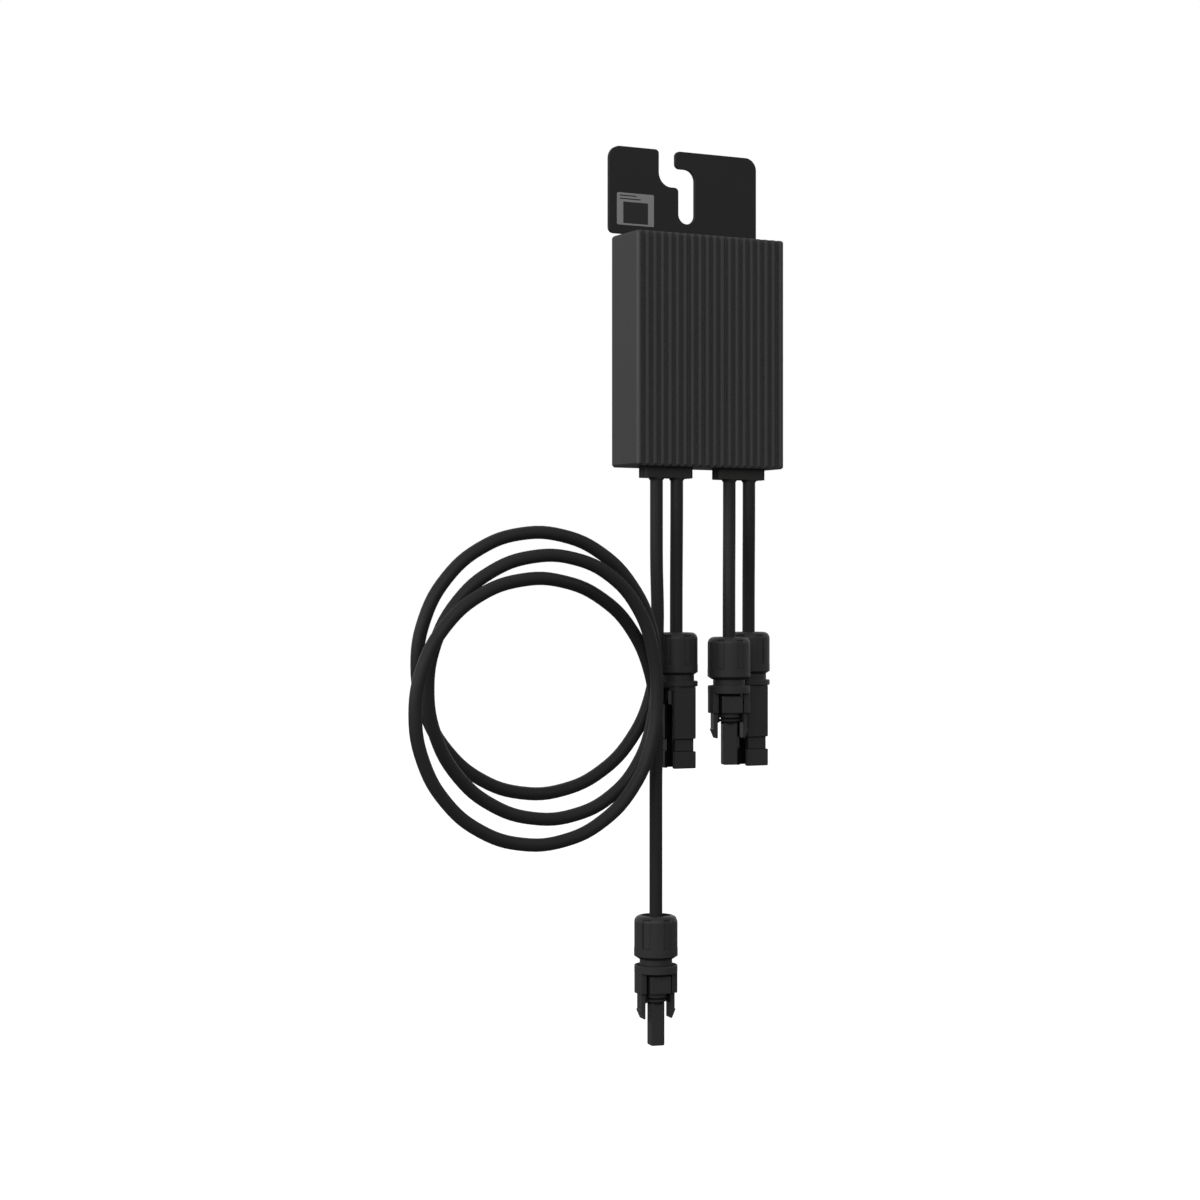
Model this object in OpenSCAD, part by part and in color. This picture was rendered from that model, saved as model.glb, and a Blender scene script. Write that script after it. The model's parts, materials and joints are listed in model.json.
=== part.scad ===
// Power optimizer for one solar module, all sizes in millimetres.
// A ribbed cast housing with a bolt-on bracket above it and four leads below it.
// Origin: middle of the bracket's back face, level with the centre of the bolt seat.
// +X is right seen from the ribbed front, +Y points back to the module frame, +Z is up.

/* [Bracket] */
// Width of the bracket plate
bracket_w = 75; // [72:0.5:78]
// Thickness of the bracket sheet
bracket_t = 2; // [1.8:0.1:2.4]
// Height of the plate above the bolt seat
bracket_top = 27.7; // [26:0.1:30]
// Width of the dog-leg bolt slot
slot_w = 8.5; // [7.6:0.1:9]
// Offset of the bolt seat from the middle of the plate
seat_x = 1.5; // [0:0.1:3]
// Sideways step between the slot's mouth and its seat
slot_step = 9.9; // [9.5:0.1:10.5]

/* [Housing] */
// Width of the housing
housing_w = 74.1; // [73:0.1:76]
// Height of the housing
housing_h = 100.9; // [100:0.1:104]
// Depth of the housing, front of the ribs to the rear rim
housing_d = 23.2; // [23:0.1:26]
// Number of grooves between the cooling ribs
groove_count = 19; // [9:2:19]
// Distance from rib to rib
rib_pitch = 3.73; // [3.6:0.01:3.75]
// Depth of a groove
groove_depth = 1.7; // [1.2:0.1:2]

/* [Glands] */
// Width of a two-cable gland
gland_w = 23.8; // [23:0.1:24]
// Depth of a gland from front to back
gland_d = 7; // [6.8:0.1:7.2]
// How far a gland stands out below the housing
gland_drop = 4.9; // [4:0.1:7]
// Distance between the two cables of a gland
cable_pitch = 10.1; // [9.6:0.1:10.5]

/* [Cables] */
// Diameter of the jacketed solar cable
cable_d = 5.6; // [5.2:0.1:5.6]
// Half width of the loose loops of the long lead
loop_half_w = 57.1; // [54:0.1:60]
// Half height of the loose loops of the long lead
loop_half_h = 57.2; // [54:0.1:60]
// How far each loop hangs below the one before
loop_drop = 9.7; // [9:0.1:11]

/* [Connectors] */
// Radius of the cable nut of a connector
nut_r = 9.4; // [9.2:0.1:9.6]
// Length of the cable nut
nut_h = 18.5; // [18:0.1:19]
// Length of the keyed nose of a plug
nose_h = 22.6; // [22:0.1:24]
// Length of the shell of a socket
shell_h = 35.5; // [34:0.5:36]

/* [Hidden] */
$fn = 48;
eps = 0.01;
fit = 0.1;                                  // clearance between seated pieces
outside = 5;                                // how far a cutting tool runs past a face

// bracket plate and its fastening tab
shoulder_z = -10.6;
lip_z = 20;
ledge_z = lip_z - slot_w;
tab_w = 49;
tab_z = -66;
plate_screw_places = [for (x = [-18, 18], z = [-20, -58]) [x, z]];
label_size = [18.5, 14.1];
label_place = [-24.55, 0.25];
label_t = 0.15;

// housing casting, from its ribbed front to its open back
gap_t = 1.3;                                // the cover stands this far out of the rim
back_y = -bracket_t - gap_t;
front_y = back_y - housing_d;
top_z = -12.3;
bottom_z = top_z - housing_h;
edge = 1;                                   // bevel of the outer edges
groove_mouth = 2.7;
groove_floor = 0.9;
side_wall = 4.4;
top_wall = 4;
bottom_wall = 4.9;
front_wall = 2.4;
cavity_w = housing_w - 2 * side_wall;
cavity_front = front_y + groove_depth + front_wall;
cavity_top = top_z - top_wall;
cavity_bottom = bottom_z + bottom_wall;

// rear cover, set in a recess on its gasket
rim = 1.8;                                  // wall left around the recess
cover_t = 3;
gasket_t = 1;
cover_front = -bracket_t - cover_t;
ledge_y = cover_front - gasket_t;
cover_posts = [for (x = [-29.6, 29.6], z = [-19.5, -60, -97.5]) [x, z]];
post_r = 3.4;

// screws: [head radius, head height, shank radius]
cover_screw = [2.8, 1.6, 1.2];
board_screw = [2.3, 1.6, 1.0];
plate_screw = [3, 1.7, 1.5];
cover_screw_in = 8;                         // how far the screws reach into their posts
board_screw_in = 6;
blind = 1;                                  // depth left free below a screw

// circuit board and what stands on its front
board_back = -7;
board_t = 1.6;
board_front = board_back - board_t;
board_w = 52;
board_top = -20;
board_bottom = -101;
board_posts = [for (x = [-21.5, 21.5], z = [-25, -90]) [x, z]];
board_post_r = 3;
switch_size = [6, 2.3, 5];
switch_places = [for (x = [-6, 6], z = [-31, -39]) [x, z]];
pad_t = 1;
pad_size = [23, 16];
pad_z = -35;
pad_front = board_front - switch_size[1] - pad_t;
inductor_z = -66;
inductor_r = 12;
inductor_h = 12;
flange_t = 1.6;
post_core_r = 5;
winding_in = 0.8;                           // winding stays this far inside the flanges
capacitor_r = 4;
capacitor_h = 11;
capacitor_x = 18.5;
capacitor_zs = [-36, -46.5, -57];
chip = [9, 1.4, 9];
chip_z = -84;

// glands and where the cables lie in them
cable_r = cable_d / 2;
cable_y = -18.8;
gland_x = 18.35;
gland_off = -0.4;                           // the blocks sit a little left of their cables
gland_z = bottom_z - gland_drop;
gland_edge = 1.2;                           // radius of the upright edges
gland_flange = [25.6, 8];
gland_flange_y = cavity_front + fit + gland_flange[1] / 2 - cable_y;
gland_flange_h = 2;
boot_h = 0.8;
boot_lip = 0.25;
end_grooves = [[-2.3, -0.6], [0.6, 2.3]];   // grip grooves down each end of a gland, front and rear
end_groove_t = 0.6;
end_groove_top = 1;                         // distance kept below the housing
cable_end_z = cavity_bottom + 4;
lead_xs = [for (s = [-1, 1], k = [-1, 1]) s * gland_x + k * cable_pitch / 2];
terminal_r = 2.3;
terminal_h = 5.7;
blade = [4, 1];

// three loose loops
loop_turns = 3;
loop_steps = 18;
loop_start_z = -192.7;
loop_shift = -0.16;                         // sideways step of each loop
loop_slant = 0.53;                          // sideways move for each move forward
// how far forward each turn lies: the last one comes back behind the two before it
loop_depth = [
    [0, 0], [0.1, 0], [1, -12.8], [2, -19.2], [2.5, -24.5], [2.7, -25], [2.9, -6.5], [3, -6.4]
];
loop_bulge = [2, 7.8, 3.2];                 // how far each loop is drawn in on its far side
bulge_power = 6;                            // higher spreads the drawing in over more of the loop
upper_run_z = -150;
lower_run_z = -250;

// short leads: height and share of the sideways move done there
short_ease = [[-126, 0], [-138, 0.16], [-150, 0.5], [-162, 0.84], [-174, 1]];

// places of the four connectors: [x, y, top of the nut]
long_depth = lookup(loop_turns, loop_depth);
long_place = [
    lead_xs[0] + loop_turns * loop_shift + loop_slant * long_depth, cable_y + long_depth, -306.2
];
left_place = [-11.3, -14.9, -185];
middle_place = [9.9, -24.2, -187];
right_place = [26.5, -13.4, -185];
long_turn = -10;                            // how far a plug is turned about its cable
middle_turn = -17;

// connector insides, measured down from the top of the nut
roof = 3;
cable_hole_r = cable_r + 0.15;
stud_top = 6;
stud_r = 6.9;
throat_r = 5.2;
seal_top = 10.2;
seal_end = 16;
contact_top = 22;
contact_r = 2.6;
pin_r = 2;
grip = [3.8, 8.65];                         // grip flats of the nut: width, distance from the axis
grip_turn = 34;
skirt = 4.6;                                // plain band below the grip flats
nut_crown = [[2.8, 0], [1.6, 0.5], [0.6, 1.5], [0, 2.9]];  // rounded top: in from the side, down
nut_foot = [1.8, 1.2];                      // chamfer below: in from the side, up
clamp_gap = 0.4;

// plug: neck, collar with latch arms, fingers and keyed nose
plug_neck = [7, 2.7];
plug_body_h = 12;
plug_body_r = 9.3;
plug_collar_h = 3.5;
arm = [5.6, 9];                             // latch arms: inner face from the axis, width
core_r = 5.2;
tongue = [9.4, 12.8, 1];                    // plate between the arms: width, depth, gap below the collar
finger_h = 11;
finger_in = 5.6;
finger_t = 2;
finger_w = 6;
barb = [0.5, 4, 1.2];                       // barb of a finger: out, up from its end, tip set in
nose_w = 6.2;
nose_cut = 0.8;
ring_seat = [3.62, 2.4];
ring_r = 0.55;
ring_base_h = 2;
contact_inset = 0.6;

// socket: neck, collar and latch shell
shell_neck = [7.8, 2.6];
collar = [9.4, 2.4];
shell_size = [11.4, 16.6];
shell_bore_r = 4.5;
shell_floor = 6;
channel = [-7, 0.2];                        // front and rear side of a latch channel
channel_depth = 2.2;
latch = [3.6, 8];                           // latch window above it: rear side, height
latch_bar = [-4.9, -1.9, 0.5];              // bar in the window: front and rear side, set back
latch_bar_zs = [-7.8, -1.8];
notch = [7.3, 12.8];                        // notch across the shell, from its mouth
notch_depth = 1;
pin_h = 20;
pin_tip = [0.7, 1];                         // chamfer of the pin: in and up
shell_edge = 1.6;                           // radius of the upright edges
shell_brow = 0.4;                           // shell left whole above the windows

function unit(v) = v / norm(v);

// points of the arc that rounds corner b, between neighbours a and c
function corner_arc(a, b, c, r, steps) =
    let (
        u = unit(a - b),
        v = unit(c - b),
        half = acos(u * v) / 2,
        centre = b + unit(u + v) * r / sin(half),
        first = b + u * r / tan(half) - centre,
        last = b + v * r / tan(half) - centre
    )
    [for (i = [0:steps]) centre + unit(first * (1 - i / steps) + last * i / steps) * r];

// outline through [x, y, radius] corners, sharp where the radius is 0
function rounded_outline(corners, steps = 6) =
    let (n = len(corners), at = function (i) [corners[i % n][0], corners[i % n][1]])
    [for (i = [0:n - 1]) each corners[i][2] == 0
        ? [at(i)]
        : corner_arc(at(i + n - 1), at(i), at(i + 1), corners[i][2], steps)];

// rounded rectangle about the origin
module plate(size, r) {
    x = size[0] / 2;
    y = size[1] / 2;
    polygon(rounded_outline([[x, y, r], [-x, y, r], [-x, -y, r], [x, -y, r]]));
}

// bar along Y, from y0 forward to y1, standing on an outline drawn in X and Z
module forward(y0, y1) {
    translate([0, y0, 0])
        rotate([90, 0, 0])
            linear_extrude(y0 - y1)
                children();
}

// cylinder along Y, from y0 forward to y1
module rod(place, r, y0, y1) {
    translate([place[0], y0, place[1]])
        rotate([90, 0, 0])
            cylinder(r = r, h = y0 - y1);
}

// block between two X, two Y and two Z values
module block(xs, ys, zs) {
    translate([xs[0], ys[0], zs[0]])
        cube([xs[1] - xs[0], ys[1] - ys[0], zs[1] - zs[0]]);
}

// countersunk screw with its flat head at y0, pointing forward
module sunk_screw(place, screw, y0, y1) {
    translate([place[0], y0, place[1]])
        rotate([90, 0, 0])
            rotate_extrude()
                polygon([[0, 0], [screw[0], 0], [screw[2], screw[1]], [screw[2], y0 - y1], [0, y0 - y1]]);
}

// hole that a countersunk screw sits in
module sunk_hole(place, screw, y0, y1) {
    translate([place[0], y0, place[1]])
        rotate([90, 0, 0])
            rotate_extrude()
                polygon([
                    [0, -outside], [screw[0] + fit, -outside], [screw[0] + fit, 0],
                    [screw[2] + fit, screw[1]], [screw[2] + fit, y0 - y1 + outside], [0, y0 - y1 + outside]
                ]);
}

// cross-section of the casting: bevelled box with drafted grooves along its front
module ribbed_section() {
    half = housing_w / 2;
    grooves = [for (k = [0:groove_count - 1])
        let (x = (k - (groove_count - 1) / 2) * rib_pitch)
        each [
            [x - groove_mouth / 2, front_y], [x - groove_floor / 2, front_y + groove_depth],
            [x + groove_floor / 2, front_y + groove_depth], [x + groove_mouth / 2, front_y]
        ]];
    polygon(concat(
        [[-half, back_y], [-half, front_y + edge], [-half + edge, front_y]],
        grooves,
        [[half - edge, front_y], [half, front_y + edge], [half, back_y]]
    ));
}

// square bars turned on edge, which bevel the upper and lower edges
module edge_bevels() {
    bar = edge * sqrt(2);
    for (z = [top_z, bottom_z]) {
        translate([0, front_y, z])
            rotate([45, 0, 0])
                cube([2 * housing_w, bar, bar], center = true);
        for (s = [-1, 1])
            translate([s * housing_w / 2, front_y, z])
                rotate([0, 45, 0])
                    cube([bar, 3 * housing_d, bar], center = true);
    }
}

module housing() {
    color([0.09, 0.09, 0.1])
        difference() {
            union() {
                difference() {
                    translate([0, 0, bottom_z])
                        linear_extrude(housing_h)
                            ribbed_section();
                    block([-cavity_w / 2, cavity_w / 2], [cavity_front, outside], [cavity_bottom, cavity_top]);
                }
                for (p = cover_posts)
                    rod(p, post_r, ledge_y, cavity_front - eps);
                for (p = board_posts)
                    rod(p, board_post_r, board_front, cavity_front - eps);
                translate([0, 0, pad_z])
                    forward(pad_front, cavity_front - eps)
                        square(pad_size + [pad_t, pad_t], center = true);
            }
            block(
                [rim - housing_w / 2, housing_w / 2 - rim], [ledge_y, outside],
                [bottom_z + rim, top_z - rim]
            );
            for (p = cover_posts)
                rod(p, cover_screw[2] + fit / 2, ledge_y + eps, ledge_y - cover_screw_in - blind);
            for (p = board_posts)
                rod(p, board_screw[2] + fit / 2, board_front + eps, board_front - board_screw_in - blind);
            for (s = [-1, 1])
                translate([s * gland_x + gland_off, cable_y, bottom_z - outside])
                    linear_extrude(bottom_wall + outside + eps)
                        plate([gland_w + 2 * fit, gland_d + 2 * fit], gland_edge + fit);
            edge_bevels();
        }
}

module gasket() {
    outer = [housing_w - 2 * rim - 2 * fit, housing_h - 2 * rim - 2 * fit];
    inner = [cavity_w, cavity_top - cavity_bottom];
    color([0.2, 0.2, 0.2])
        forward(cover_front, ledge_y)
            difference() {
                union() {
                    translate([0, (top_z + bottom_z) / 2])
                        difference() {
                            square(outer, center = true);
                            translate([0, (cavity_top + cavity_bottom - top_z - bottom_z) / 2])
                                square(inner, center = true);
                        }
                    for (p = cover_posts)
                        translate(p)
                            circle(post_r);
                }
                for (p = cover_posts)
                    translate(p)
                        circle(cover_screw[2] + fit);
            }
}

module rear_cover() {
    size = [housing_w - 2 * rim - 2 * fit, housing_h - 2 * rim - 2 * fit];
    color([0.12, 0.12, 0.13])
        difference() {
            translate([0, 0, (top_z + bottom_z) / 2])
                forward(-bracket_t, cover_front)
                    square(size, center = true);
            for (p = cover_posts)
                sunk_hole(p, cover_screw, -bracket_t, cover_front);
            for (p = plate_screw_places)
                rod(p, plate_screw[2] + fit / 2, outside, cover_front - outside);
        }
}

module cover_screws() {
    color([0.7, 0.7, 0.72])
        for (p = cover_posts)
            sunk_screw(p, cover_screw, -bracket_t, ledge_y - cover_screw_in);
}

// plate with its dog-leg slot: in from the top, across under the lip, down to the seat
module bracket_outline() {
    side = bracket_w / 2;
    tab = tab_w / 2;
    seat_l = seat_x - slot_w / 2;
    seat_r = seat_x + slot_w / 2;
    mouth_l = seat_l - slot_step;
    mouth_r = seat_r - slot_step;
    difference() {
        polygon(rounded_outline([
            [-side, shoulder_z, 2.5],
            [-side, bracket_top, 5.5],
            [mouth_l, bracket_top, 1.7],
            [mouth_l, ledge_z, 6.3],
            [seat_l, ledge_z, 1.8],
            [seat_l, 0, 0],
            [seat_r, 0, 0],
            [seat_r, lip_z, 5],
            [mouth_r, lip_z, 2.2],
            [mouth_r, bracket_top, 2.2],
            [side, bracket_top, 5.5],
            [side, shoulder_z, 2.5],
            [tab, shoulder_z, 2],
            [tab, tab_z, 4],
            [-tab, tab_z, 4],
            [-tab, shoulder_z, 2]
        ], 8));
        translate([seat_x, 0])
            circle(slot_w / 2);
    }
}

module mounting_bracket() {
    color([0.13, 0.13, 0.14])
        difference() {
            forward(0, -bracket_t)
                bracket_outline();
            for (p = plate_screw_places)
                sunk_hole(p, plate_screw, 0, -bracket_t);
        }
}

module bracket_screws() {
    color([0.6, 0.6, 0.62])
        for (p = plate_screw_places)
            sunk_screw(p, plate_screw, 0, cover_front);
}

module label() {
    color([0.5, 0.5, 0.5])
        forward(-bracket_t, -bracket_t - label_t)
            translate(label_place)
                square(label_size, center = true);
}

// rubber block with two cable holes, a short boot round each and a flange inside the wall
module gland(x) {
    color([0.1, 0.1, 0.1])
        translate([x, cable_y, 0])
            difference() {
                union() {
                    translate([gland_off, 0, gland_z])
                        linear_extrude(cavity_bottom - gland_z)
                            plate([gland_w, gland_d], gland_edge);
                    translate([gland_off, gland_flange_y, cavity_bottom])
                        linear_extrude(gland_flange_h)
                            plate(gland_flange, gland_edge);
                    for (k = [-1, 1])
                        translate([k * cable_pitch / 2, 0, gland_z - boot_h])
                            cylinder(r1 = cable_r + boot_lip, r2 = gland_d / 2 - fit, h = boot_h);
                }
                for (k = [-1, 1])
                    translate([k * cable_pitch / 2, 0, gland_z - outside])
                        cylinder(r = cable_r + fit, h = gland_drop + bottom_wall + 2 * outside);
                for (k = [-1, 1], g = end_grooves)
                    translate([
                        gland_off + k * gland_w / 2, (g[0] + g[1]) / 2,
                        (gland_z - outside + bottom_z - end_groove_top) / 2
                    ])
                        cube([
                            2 * end_groove_t, g[1] - g[0], gland_drop + outside - end_groove_top
                        ], center = true);
            }
}

module left_gland() {
    gland(-gland_x);
}

module right_gland() {
    gland(gland_x);
}

module circuit_board() {
    color([0.1, 0.35, 0.2])
        difference() {
            block([-board_w / 2, board_w / 2], [board_front, board_back], [board_bottom, board_top]);
            for (p = board_posts)
                rod(p, board_screw[2] + fit, outside, board_front - outside);
        }
}

module board_screws() {
    color([0.7, 0.7, 0.72])
        for (p = board_posts) {
            rod(p, board_screw[0], board_back + board_screw[1], board_back);
            rod(p, board_screw[2], board_back + eps, board_front - board_screw_in);
        }
}

module power_switches() {
    color([0.15, 0.15, 0.16])
        for (p = switch_places)
            translate([p[0] - switch_size[0] / 2, board_front - switch_size[1], p[1] - switch_size[2] / 2])
                cube(switch_size);
}

module thermal_pad() {
    color([0.6, 0.65, 0.75])
        translate([0, 0, pad_z])
            forward(pad_front + pad_t, pad_front)
                square(pad_size, center = true);
}

// bobbin core turned about the Y axis, standing on the board
module on_board(x, z) {
    translate([x, board_front, z])
        rotate([90, 0, 0])
            children();
}

module inductor_core() {
    color([0.22, 0.22, 0.24])
        on_board(0, inductor_z)
            rotate_extrude()
                polygon([
                    [0, 0], [inductor_r, 0], [inductor_r, flange_t], [post_core_r, flange_t],
                    [post_core_r, inductor_h - flange_t], [inductor_r, inductor_h - flange_t],
                    [inductor_r, inductor_h], [0, inductor_h]
                ]);
}

module inductor_winding() {
    color([0.72, 0.42, 0.2])
        on_board(0, inductor_z)
            translate([0, 0, flange_t + fit])
                difference() {
                    cylinder(r = inductor_r - winding_in, h = inductor_h - 2 * flange_t - 2 * fit);
                    translate([0, 0, -outside])
                        cylinder(r = post_core_r + fit, h = inductor_h + outside);
                }
}

module capacitors(x) {
    color([0.2, 0.22, 0.4])
        for (z = capacitor_zs)
            on_board(x, z)
                cylinder(r = capacitor_r, h = capacitor_h);
}

module input_capacitors() {
    capacitors(-capacitor_x);
}

module output_capacitors() {
    capacitors(capacitor_x);
}

module control_chip() {
    color([0.12, 0.12, 0.13])
        translate([-chip[0] / 2, board_front - chip[1], chip_z - chip[2] / 2])
            cube(chip);
}

// crimped end of each cable, with a blade that reaches back to the board
module cable_terminals() {
    color([0.75, 0.7, 0.55])
        for (x = lead_xs) {
            translate([x, cable_y, cable_end_z + fit])
                cylinder(r = terminal_r, h = terminal_h);
            block(
                [x - blade[0] / 2, x + blade[0] / 2], [cable_y, board_front],
                [cable_end_z + terminal_h - blade[1], cable_end_z + terminal_h]
            );
        }
}

// ring of points around p, square to direction d
function ring_points(p, d, r, sides) =
    let (u = unit(cross(d, [0, 1, 0])), v = cross(d, u))
    [for (k = [0:sides - 1]) p + r * (u * cos(360 * k / sides) + v * sin(360 * k / sides))];

// cable swept along a route of points
module cable(route, sides = 8) {
    n = len(route);
    way = [for (i = [0:n - 1]) unit(route[min(i + 1, n - 1)] - route[max(i - 1, 0)])];
    points = [for (i = [0:n - 1]) each ring_points(route[i], way[i], cable_r, sides)];
    skin = [for (i = [0:n - 2], k = [0:sides - 1])
        let (a = i * sides + k, b = i * sides + (k + 1) % sides)
        each [[a, a + sides, b], [b, a + sides, b + sides]]];
    ends = [[for (k = [0:sides - 1]) k], [for (k = [sides - 1:-1:0]) (n - 1) * sides + k]];
    color([0.1, 0.1, 0.1])
        polyhedron(points, concat(skin, ends));
}

// point on the loose loops: turn 0 leaves the upper run, the last turn joins the lower run
function loop_point(turn) =
    let (
        a = -360 * turn,
        depth = lookup(turn, loop_depth),
        drawn = loop_bulge[min(floor(turn), loop_turns - 1)] * (1 - pow((1 + cos(a)) / 2, bulge_power))
    )
    [
        lead_xs[0] + loop_shift * turn + loop_slant * depth - loop_half_w * (1 - cos(a)) + drawn,
        cable_y + depth,
        loop_start_z - loop_drop * turn + loop_half_h * sin(a)
    ];

long_route = concat(
    [[lead_xs[0], cable_y, cable_end_z], [lead_xs[0], cable_y, upper_run_z]],
    [for (i = [0:loop_turns * loop_steps]) loop_point(i / loop_steps)],
    [
        [long_place[0], long_place[1], lower_run_z],
        [long_place[0], long_place[1], long_place[2] - contact_top]
    ]
);

// short lead that eases sideways from its gland to its connector
function short_route(x, place) =
    let (start = [x, cable_y], end = [place[0], place[1]])
    concat(
        [[x, cable_y, cable_end_z]],
        [for (e = short_ease) concat(start + (end - start) * e[1], [e[0]])],
        [[place[0], place[1], place[2] - contact_top]]
    );

module long_cable() {
    cable(long_route);
}

module left_cable() {
    cable(short_route(lead_xs[1], left_place));
}

module middle_cable() {
    cable(short_route(lead_xs[2], middle_place));
}

module right_cable() {
    cable(short_route(lead_xs[3], right_place));
}

// cable nut with six grip flats above a plain skirt
module nut(place) {
    color([0.1, 0.1, 0.1])
        translate(place)
            difference() {
                rotate_extrude()
                    polygon([
                        [cable_hole_r, 0],
                        for (c = nut_crown) [nut_r - c[0], -c[1]],
                        [nut_r, nut_foot[1] - nut_h], [nut_r - nut_foot[0], -nut_h], [stud_r + fit, -nut_h],
                        [stud_r + fit, -roof], [cable_hole_r, -roof]
                    ]);
                for (k = [0:5])
                    rotate(grip_turn + 60 * k)
                        translate([grip[1], -grip[0] / 2, skirt - nut_h])
                            cube([nut_r, grip[0], nut_h]);
            }
}

// ring that presses the seal on to the cable when the nut is tightened
module clamp(place) {
    color([0.15, 0.15, 0.15])
        translate(place)
            rotate_extrude()
                polygon([
                    [cable_hole_r, -roof - fit], [stud_r - clamp_gap, -roof - fit],
                    [stud_r - clamp_gap, -stud_top + fit],
                    [throat_r - fit, -stud_top + fit], [throat_r - fit, -seal_top + fit],
                    [cable_hole_r, -seal_top + fit]
                ]);
}

module seal(place) {
    color([0.35, 0.1, 0.08])
        translate(place)
            rotate_extrude()
                polygon([
                    [cable_hole_r, -seal_top], [throat_r - fit, -seal_top],
                    [throat_r - fit, -seal_end + fit], [cable_hole_r, -seal_end + fit]
                ]);
}

// threaded stud under the nut, bored for the seal, the cable and the contact
module stud(neck) {
    translate([0, 0, -nut_h - eps])
        cylinder(r = stud_r, h = nut_h - stud_top + eps);
    translate([0, 0, -nut_h - neck[1]])
        cylinder(r = neck[0], h = neck[1]);
}

module stud_bores() {
    translate([0, 0, -seal_end])
        cylinder(r = throat_r, h = seal_end);
    translate([0, 0, -contact_top])
        cylinder(r = cable_hole_r, h = contact_top);
}

// springy latch finger with a barb, drawn in X and Z and standing on the plug's side
module finger() {
    out = finger_in + finger_t;
    rotate([90, 0, 0])
        linear_extrude(finger_w, center = true)
            polygon([
                [finger_in, eps], [out, eps], [out, barb[1] - finger_h], [out + barb[0], barb[1] - finger_h],
                [out - barb[2], -finger_h], [finger_in, -finger_h]
            ]);
}

// keyed nose: square with its corners cut
module nose_section() {
    h = nose_w / 2;
    c = h - nose_cut;
    polygon([[h, -c], [h, c], [c, h], [-c, h], [-h, c], [-h, -c], [-c, -h], [c, -h]]);
}

// plug: collar with two latch arms, plates between them, two fingers and a keyed nose
module plug(place, turn) {
    body_top = -nut_h - plug_neck[1];
    body_end = body_top - plug_body_h;
    collar_end = body_top - plug_collar_h;
    tongue_h = plug_body_h - plug_collar_h - tongue[2];
    far = 2 * plug_body_r;
    color([0.1, 0.1, 0.1])
        translate(place)
            rotate(turn)
                difference() {
                    union() {
                        stud(plug_neck);
                        intersection() {
                            translate([0, 0, body_end])
                                cylinder(r = plug_body_r, h = plug_body_h);
                            union() {
                                block([-far, far], [-far, far], [collar_end, body_top + outside]);
                                for (s = [0, 180])
                                    rotate(s)
                                        block([arm[0], far], [-arm[1] / 2, arm[1] / 2], [body_end - outside, body_top]);
                            }
                        }
                        translate([0, 0, body_end])
                            cylinder(r = core_r, h = plug_body_h - eps);
                        translate([0, 0, body_end + tongue_h / 2])
                            cube([tongue[0], tongue[1], tongue_h], center = true);
                        for (s = [0, 180])
                            rotate(s)
                                translate([0, 0, body_end])
                                    finger();
                        translate([0, 0, body_end - ring_base_h])
                            cylinder(r = ring_seat[0] + 2 * ring_r, h = ring_base_h + eps);
                        translate([0, 0, body_end - ring_base_h - ring_seat[1]])
                            cylinder(r = ring_seat[0], h = ring_seat[1] + eps);
                        translate([0, 0, body_end - nose_h])
                            linear_extrude(nose_h - ring_base_h - ring_seat[1] + eps)
                                nose_section();
                    }
                    stud_bores();
                    translate([0, 0, body_end - nose_h - outside])
                        cylinder(r = contact_r + fit / 2, h = nose_h + outside - body_end - seal_end);
                }
}

// rubber ring on the nose
module nose_ring(place) {
    z = -nut_h - plug_neck[1] - plug_body_h - ring_base_h - ring_seat[1] / 2;
    color([0.2, 0.2, 0.2])
        translate(place)
            translate([0, 0, z])
                rotate_extrude()
                    translate([ring_seat[0] + ring_r + fit / 2, 0])
                        circle(ring_r);
}

// contact with a bore for the mating pin
module bore_contact(place) {
    tip = -nut_h - plug_neck[1] - plug_body_h - nose_h + contact_inset;
    color([0.8, 0.75, 0.6])
        translate(place)
            difference() {
                translate([0, 0, tip])
                    cylinder(r = contact_r, h = -contact_top - tip);
                translate([0, 0, tip - outside])
                    cylinder(r = pin_r + fit / 2, h = pin_h + outside);
            }
}

// channel down the side of a socket, with a wider latch window and its bar at the upper end
module latch_cut(mouth, shell_top) {
    side = -shell_size[0] / 2;
    top = shell_top - shell_brow;
    difference() {
        union() {
            block([-shell_size[0], side + channel_depth], channel, [mouth - outside, top]);
            block([-shell_size[0], side + channel_depth], [channel[0], latch[0]], [shell_top - latch[1], top]);
        }
        block(
            [side + latch_bar[2], 0], [latch_bar[0], latch_bar[1]],
            [shell_top + latch_bar_zs[0], shell_top + latch_bar_zs[1]]
        );
    }
}

// socket: collar and a latch shell, open below, with a channel down each side
module socket(place) {
    collar_top = -nut_h - shell_neck[1];
    shell_top = collar_top - collar[1];
    mouth = shell_top - shell_h;
    color([0.1, 0.1, 0.1])
        translate(place)
            difference() {
                union() {
                    stud(shell_neck);
                    translate([0, 0, shell_top])
                        cylinder(r = collar[0], h = collar[1]);
                    translate([0, 0, mouth])
                        linear_extrude(shell_h + eps)
                            plate(shell_size, shell_edge);
                }
                stud_bores();
                translate([0, 0, shell_top - shell_floor])
                    cylinder(r = contact_r + fit / 2, h = shell_floor - shell_top);
                translate([0, 0, mouth - outside])
                    cylinder(r = shell_bore_r, h = shell_h - shell_floor + outside);
                for (s = [0, 180])
                    rotate(s)
                        latch_cut(mouth, shell_top);
                translate([0, 0, mouth + notch[0]])
                    linear_extrude(notch[1] - notch[0])
                        difference() {
                            square(3 * shell_size, center = true);
                            square(shell_size - 2 * [notch_depth, notch_depth], center = true);
                        }
            }
}

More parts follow.
